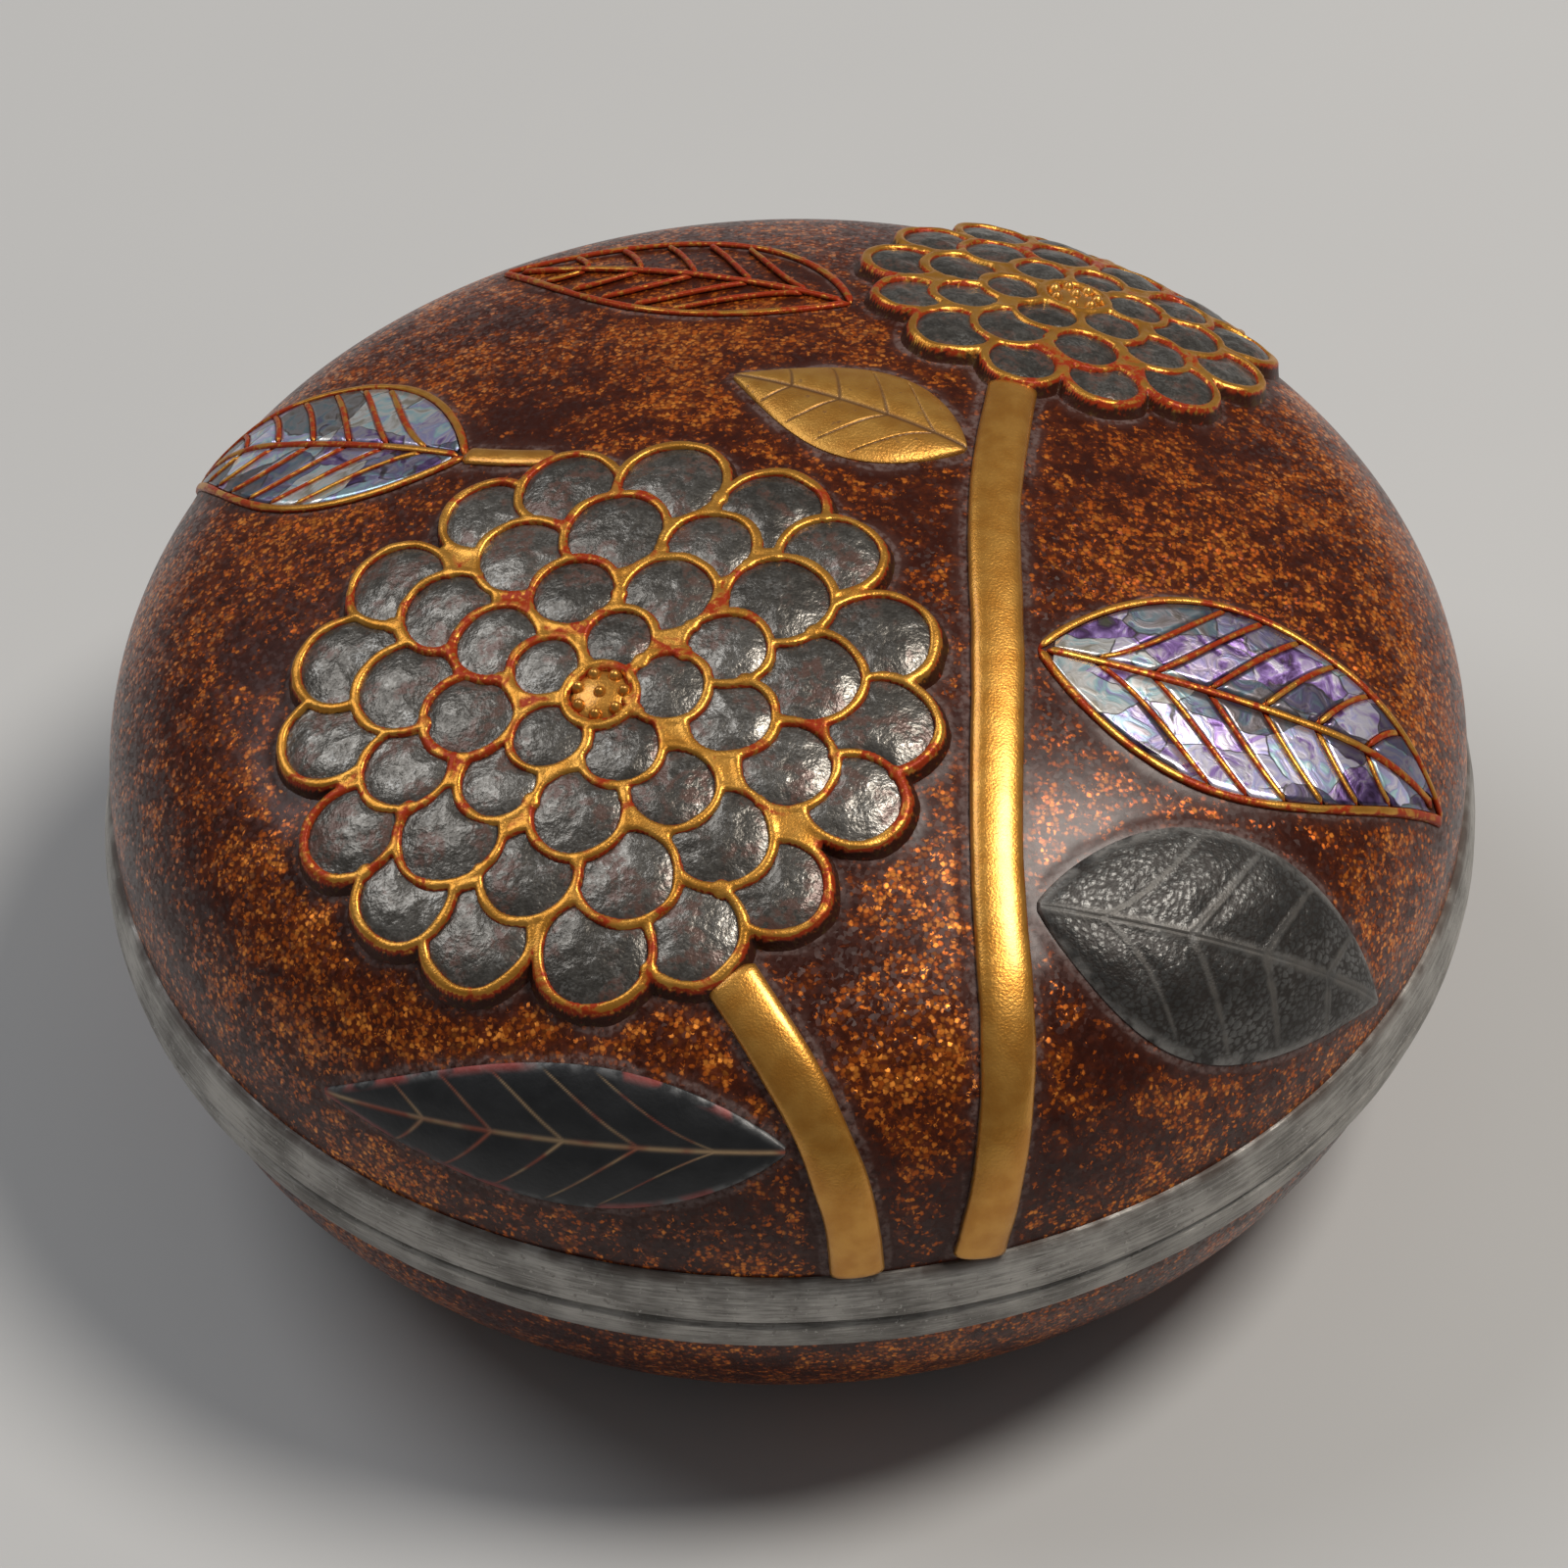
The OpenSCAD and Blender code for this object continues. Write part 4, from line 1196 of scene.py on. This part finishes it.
def lead_leaf(finish):
    """Thick sheet: pillows of leather grain between smooth raised veins, each with a fine groove."""
    sheet = SheetLeaf(LEAD_LEAF, LEAD_VEINS)
    spot = spots(sheet.flat)
    grain = leather(spot + 0.12 * MM * ripple(spot, 0.5, 4.1)[:, None])
    pillow = 0.20 * MM * (1 - sheet.lines(1.5, 1.5)) + 0.06 * MM * ripple(spot, 1.6, 1.3)
    vein = 0.13 * MM * sheet.lines(0.30, 0.30) - 0.10 * MM * sheet.lines(0.10, 0.10)
    rough = 0.05 * MM * grain * (1 - sheet.lines(0.55, 0.55))
    crown = LEAD_LEAF_TOP - LEAF_EDGE - 0.30 * MM
    height = (crown + pillow) * sheet.swell + (vein + rough) * sheet.swell ** 0.5
    bare = eased(0.3, 1.0, sheet.lines(0.45, 0.45) * (1 + 0.4 * ripple(spot, 0.5, 7.3)))
    sheet.shaped(height, "lead_leaf", "lead", finish, vein=bare, edge=sheet.edge(0.7), crest=grain)


def dark_leaf(finish):
    """Thin sheet, hollow along its midrib, with engraved veins."""
    sheet = SheetLeaf(DARK_LEAF, DARK_VEINS)
    line = sheet.lines(0.115, 0.13)
    crown = DARK_LEAF_TOP - LEAF_EDGE - 0.18 * MM * sheet.midrib(0.8)
    height = crown * sheet.swell - 0.04 * MM * line
    sheet.shaped(height, "dark_leaf", "dark_lead", finish, vein=line, edge=sheet.edge(0.5))


def gold_leaf(finish):
    """Raised gold, hollow along its midrib, with engraved veins."""
    sheet = SheetLeaf(GOLD_LEAF, GOLD_VEINS)
    line = sheet.lines(0.17, 0.13)
    crown = GOLD_LEAF_TOP - LEAF_EDGE - 0.16 * MM * sheet.midrib(0.7)
    height = crown * sheet.swell - 0.05 * MM * line
    sheet.shaped(height, "gold_leaf", "gold", finish, vein=line)


# Turned pieces

TURN_STEPS = 480
TURN_PARTS = 12
MERGE_WITHIN = 1e-4 * MM
LACQUER_STEP = 0.36 * MM
HIDDEN_STEP = 1.5 * MM
LIP_STEP = 0.1 * MM
ON_FACE = 1e-3 * MM
FAR = 1.0
HALO_W = 1.15 * MM
HALO_CORE = 0.3 * MM
SWELL_W = 0.7 * MM
SWELL_H = 0.06 * MM
WAVE_H = 0.012 * MM
BEAD_STEPS = 20
BEAD_FLAT = 2.1
BEAD_ROUND = 0.62
RIM_DENT = 0.05 * MM
RIM_SOFT = 0.08 * MM
RIM_CORNER = math.radians(30)


def arc(x, z, radius, start, end, step):
    """Points of an arc in a half section, about a step apart; angles in radians from +x to +z."""
    count = max(2, round(radius * abs(end - start) / step) + 1)
    return [(x + radius * math.cos(a), z + radius * math.sin(a)) for a in np.linspace(start, end, count)]


def straight(start, end, step):
    """Points of a straight stretch, without its start."""
    count = max(1, round(math.dist(start, end) / step))
    return [tuple(np.array(start) + (np.array(end) - start) * i / count) for i in range(1, count + 1)]


def turned(section, closed, *marks):
    """A half section turned once round the axis."""
    bm = new_mesh(*marks)
    verts = [bm.verts.new((x, 0, z)) for x, z in section]
    pairs = list(zip(verts, verts[1:]))
    if closed:
        pairs.append((verts[-1], verts[0]))
    edges = [bm.edges.new(pair) for pair in pairs]
    middle, axis = (0, 0, 0), (0, 0, 1)
    angle = 2 * math.pi / TURN_PARTS
    steps = TURN_STEPS // TURN_PARTS
    bmesh.ops.spin(bm, geom=verts + edges, cent=middle, axis=axis, angle=angle, steps=steps)
    part = everything(bm)
    for i in range(1, TURN_PARTS):
        copied = only_verts(bmesh.ops.duplicate(bm, geom=part)["geom"])
        bmesh.ops.rotate(bm, cent=middle, matrix=Matrix.Rotation(i * angle, 3, "Z"), verts=copied)
    bmesh.ops.remove_doubles(bm, verts=bm.verts, dist=MERGE_WITHIN)
    return bm


def distance_to_relief(points):
    feet = np.concatenate(relief_feet)
    tree = kdtree.KDTree(len(feet))
    for i, foot in enumerate(feet):
        tree.insert(foot, i)
    tree.balance()
    return np.array([tree.find(point)[2] for point in points])


def lid_shell(finish):
    """The domed lid, with its lacquer swelling a little at the foot of the relief."""
    rest = QUARTER - dome.crown_angle
    inner_crown, inner_shoulder = dome.crown_r - WALL, SHOULDER_R - WALL
    seat = LID_R - RIM_SEAT
    bm = turned([
        *arc(0, dome.crown_z, dome.crown_r, QUARTER, rest, LACQUER_STEP),
        *arc(dome.shoulder_x, dome.waist_z, SHOULDER_R, rest, 0, LACQUER_STEP)[1:],
        *straight((LID_R, dome.waist_z), (LID_R, LID_RIM_Z), LACQUER_STEP),
        (seat, LID_RIM_Z), (seat, SEAM_Z + RIM_WEB), (LID_BORE, SEAM_Z + RIM_WEB),
        *arc(dome.shoulder_x, dome.waist_z, inner_shoulder, 0, rest, HIDDEN_STEP),
        *arc(0, dome.crown_z, inner_crown, rest, QUARTER, HIDDEN_STEP)[1:],
    ], False, "near_relief")
    verts = list(bm.verts)
    points = coords(verts)
    z = points[:, 2]
    outside = (np.abs(dome.height(points)) < ON_FACE) & (z > LID_RIM_Z - ON_FACE)
    away = np.where(outside, distance_to_relief(points), FAR) * (1 + 0.4 * ripple(points, 1.4, 7.7))
    swell = SWELL_H * eased(SWELL_W, 0, away) + WAVE_H * ripple(points, 7, 3.3)
    free = outside & (z > LID_RIM_Z + ON_FACE)
    move(verts, points + dome.normal(points) * np.where(free, swell, 0)[:, None])
    mark(bm, "near_relief", verts, np.where(outside, eased(HALO_W, HALO_CORE, away), 0))
    finished(bm, "lid_shell", "lacquer", finish, sharp=True)


def body_shell(finish):
    """The bowl under the lid, with the rebates of its rim and its standing lip."""
    inner_r = BELLY_R - WALL
    meet = math.acos((LIP_BORE - FOOT_R) / inner_r)
    seat = BODY_R - RIM_SEAT
    bm = turned([
        (0, 0), *straight((0, 0), (FOOT_R, 0), HIDDEN_STEP),
        *arc(FOOT_R, BELLY_R, BELLY_R, -QUARTER, 0, LACQUER_STEP)[1:],
        (BODY_R, BODY_RIM_Z), (seat, BODY_RIM_Z), (seat, SEAM_Z - RIM_WEB),
        (LIP_SEAT, SEAM_Z - RIM_WEB), (LIP_SEAT, LIP_LOW_Z), (LIP_BORE, LIP_LOW_Z),
        *arc(FOOT_R, BELLY_R, inner_r, -meet, -QUARTER, HIDDEN_STEP),
        (0, WALL),
    ], False, "near_relief")
    finished(bm, "body_shell", "lacquer", finish, "body", sharp=True)


def rim(wall_r, bore_r, far_z, body, name, finish):
    """A lead rim: a low bead from the seam to its far edge, worn uneven, with a rebate inside."""
    height = abs(far_z - SEAM_Z)
    up = 1 if far_z > SEAM_Z else -1
    bulge = RIM_R - wall_r - RIM_STEP
    share = np.sin(np.linspace(math.asin(SEAM_GROOVE / height), QUARTER, BEAD_STEPS))
    inward = bulge * (1 - (1 - share ** BEAD_FLAT) ** BEAD_ROUND)
    seat = wall_r - RIM_SEAT + GLUE_GAP
    section = [
        (bore_r, 0), (RIM_R - SEAM_GROOVE, 0), *zip(RIM_R - inward, share * height),
        (seat, height), (seat, RIM_WEB), (bore_r, RIM_WEB),
    ]
    bm = turned([(x, SEAM_Z + up * z) for x, z in section], True)
    corners = [edge for edge in bm.edges if edge.calc_face_angle(0) > RIM_CORNER]
    bmesh.ops.bevel(
        bm, geom=corners, offset=RIM_SOFT, offset_type="OFFSET", segments=2, profile=0.5,
        affect="EDGES", material=-1, clamp_overlap=True,
    )
    verts = list(bm.verts)
    points = coords(verts)
    out = np.hypot(points[:, 0], points[:, 1])
    worn = RIM_DENT * (ripple(points, 5, 1.9) - 0.6 + 0.35 * ripple(points, 1.2, 6.1))
    worn = worn * eased(wall_r - RIM_SEAT, wall_r + RIM_STEP, out)
    points[:, :2] *= (1 + worn / out)[:, None]
    move(verts, points)
    finished(bm, name, "lead", finish, body, sharp=True)


def standing_lip(finish):
    """The thin ring that guides the lid, with its upper edge rounded over."""
    round_z = LIP_HIGH_Z - LIP_ROUND
    bm = turned([
        (LIP_BORE, LIP_LOW_Z), (LIP_R, LIP_LOW_Z),
        *straight((LIP_R, LIP_LOW_Z), (LIP_R, round_z), HIDDEN_STEP),
        *arc(LIP_R - LIP_ROUND, round_z, LIP_ROUND, 0, QUARTER, LIP_STEP)[1:],
        *arc(LIP_BORE + LIP_ROUND, round_z, LIP_ROUND, QUARTER, math.pi, LIP_STEP),
    ], True)
    finished(bm, "standing_lip", "lacquer", finish, "body", sharp=True)


# Scene: the photograph's view, and lamps by direction, distance, size, light and colour

TARGET = Vector((0, 0, SEAM_Z))
ELEVATION = math.radians(45.25)
EYE_DISTANCE = 304 * MM
EYE_ROLL = math.radians(-1.67)
PHOTO_SIDE = 1600
PHOTO_FOCUS = 5567.2
PHOTO_SEAM = (805.4, 812.6)
SENSOR = 36
NEAREST = 10 * MM
KEY = ((0.46, 0.02, 0.89), 0.6, 0.2, 0.74, (1.0, 0.95, 0.88))
FILL = ((-0.54, 0.3, 0.78), 0.8, 0.5, 0.32, (0.95, 0.97, 1.0))
ROOM_LIGHT = (0.12, 0.121, 0.123, 1)
FLOOR_HALF = 3


def looking(place):
    """A turn and place that points an object's -z at the middle of the seam."""
    turn = (Vector(place) - TARGET).to_track_quat("Z", "Y")
    return Matrix.Translation(place) @ turn.to_matrix().to_4x4()


def camera():
    """The photograph's view: down at the lid at about 45 degrees, a little turned."""
    data = bpy.data.cameras.new("camera")
    data.sensor_width = SENSOR
    data.lens = PHOTO_FOCUS / PHOTO_SIDE * SENSOR
    data.shift_x = (PHOTO_SIDE / 2 - PHOTO_SEAM[0]) / PHOTO_SIDE
    data.shift_y = (PHOTO_SEAM[1] - PHOTO_SIDE / 2) / PHOTO_SIDE
    data.clip_start = NEAREST
    eye = linked("camera", data)
    place = TARGET + EYE_DISTANCE * Vector((0, -math.cos(ELEVATION), math.sin(ELEVATION)))
    eye.matrix_world = looking(place) @ Matrix.Rotation(EYE_ROLL, 4, "Z")
    bpy.context.scene.camera = eye


def lamp(name, way, distance, size, light, colour):
    """A soft round lamp; light 1 makes a white card that faces it white."""
    data = bpy.data.lights.new(name, "AREA")
    data.shape = "DISK"
    data.size = size
    data.energy = light * math.pi ** 2 * distance ** 2
    data.color = colour
    linked(name, data).matrix_world = looking(TARGET + Vector(way).normalized() * distance)


def floor():
    bm = bmesh.new()
    bmesh.ops.create_grid(bm, x_segments=1, y_segments=1, size=FLOOR_HALF)
    mesh = kept(bm, "floor")
    f = Finish("floor_paper", roughness=0.8)
    f.set(base_color=f.blend(f.noise(40, detail=3), (0.53, 0.53, 0.53), (0.56, 0.56, 0.555)))
    mesh.materials.append(f.material)
    linked("floor", mesh)


def studio():
    camera()
    lamp("key", *KEY)
    lamp("fill", *FILL)
    floor()
    world = bpy.data.worlds.new("studio")
    world.use_nodes = True
    world.node_tree.nodes["Background"].inputs["Color"].default_value = ROOM_LIGHT
    bpy.context.scene.world = world
    bpy.context.scene.view_settings.view_transform = "Standard"


def box():
    """All pieces of the box, the relief before the lid that it stands on."""
    line_gold = gold_finish("line_gold", 0.42, 0.2)
    vein_gold = gold_finish("vein_gold", 0.48, 0.3)
    stem_gold = gold_finish("stem_gold", 0.2, 0.36, 0.45, (0.150, 0.098, 0.078))
    lead, shell = petal_finish(), shell_finish()
    blooms = {
        "main_bloom": (Bloom(MAIN_BLOOM_AT, MAIN_RINGS), ("core", "inner", "middle", "outer")),
        "back_bloom": (Bloom(BACK_BLOOM_AT, BACK_RINGS), ("inner", "middle", "outer")),
    }
    for name, (bloom, rings) in blooms.items():
        for ring, ring_name in enumerate(rings):
            petal_ring(bloom, ring, f"{name}_{ring_name}_petals", lead)
        petal_net(bloom, name + "_outline", line_gold)
        add_bloom_feet(bloom)
        bloom_heart(bloom, name + "_heart", stem_gold)
    for name, drawing in (("right_shell_leaf", RIGHT_LEAF), ("left_shell_leaf", LEFT_LEAF)):
        leaf = Leaf(*drawing)
        leaf_plates(leaf, name, shell)
        leaf_lines(leaf, SHELL_VEINS, name + "_veins", vein_gold)
    leaf_lines(Leaf(*BACK_LEAF), BACK_VEINS, "back_leaf_veins", vein_gold)
    lead_leaf(embossed_finish())
    dark_leaf(dark_finish())
    gold_leaf(gold_leaf_finish())
    stem(from_foot(MAIN_STEM_FOOT, MAIN_STEM), STEM_W, STEM_TOP, "main_stem", stem_gold)
    stem(from_foot(BRANCH_STEM_FOOT, BRANCH_STEM), STEM_W, STEM_TOP, "branch_stem", stem_gold)
    stem(LEAF_STALK, STALK_W, STALK_TOP, "leaf_stalk", stem_gold)
    lacquer, rim_lead = lacquer_finish(), rim_finish()
    lid_shell(lacquer)
    rim(LID_R, LID_BORE, LID_RIM_Z, "lid", "lid_rim", rim_lead)
    body_shell(lacquer)
    rim(BODY_R, LIP_SEAT, BODY_RIM_Z, "body", "body_rim", rim_lead)
    standing_lip(lip_finish())


box()
studio()
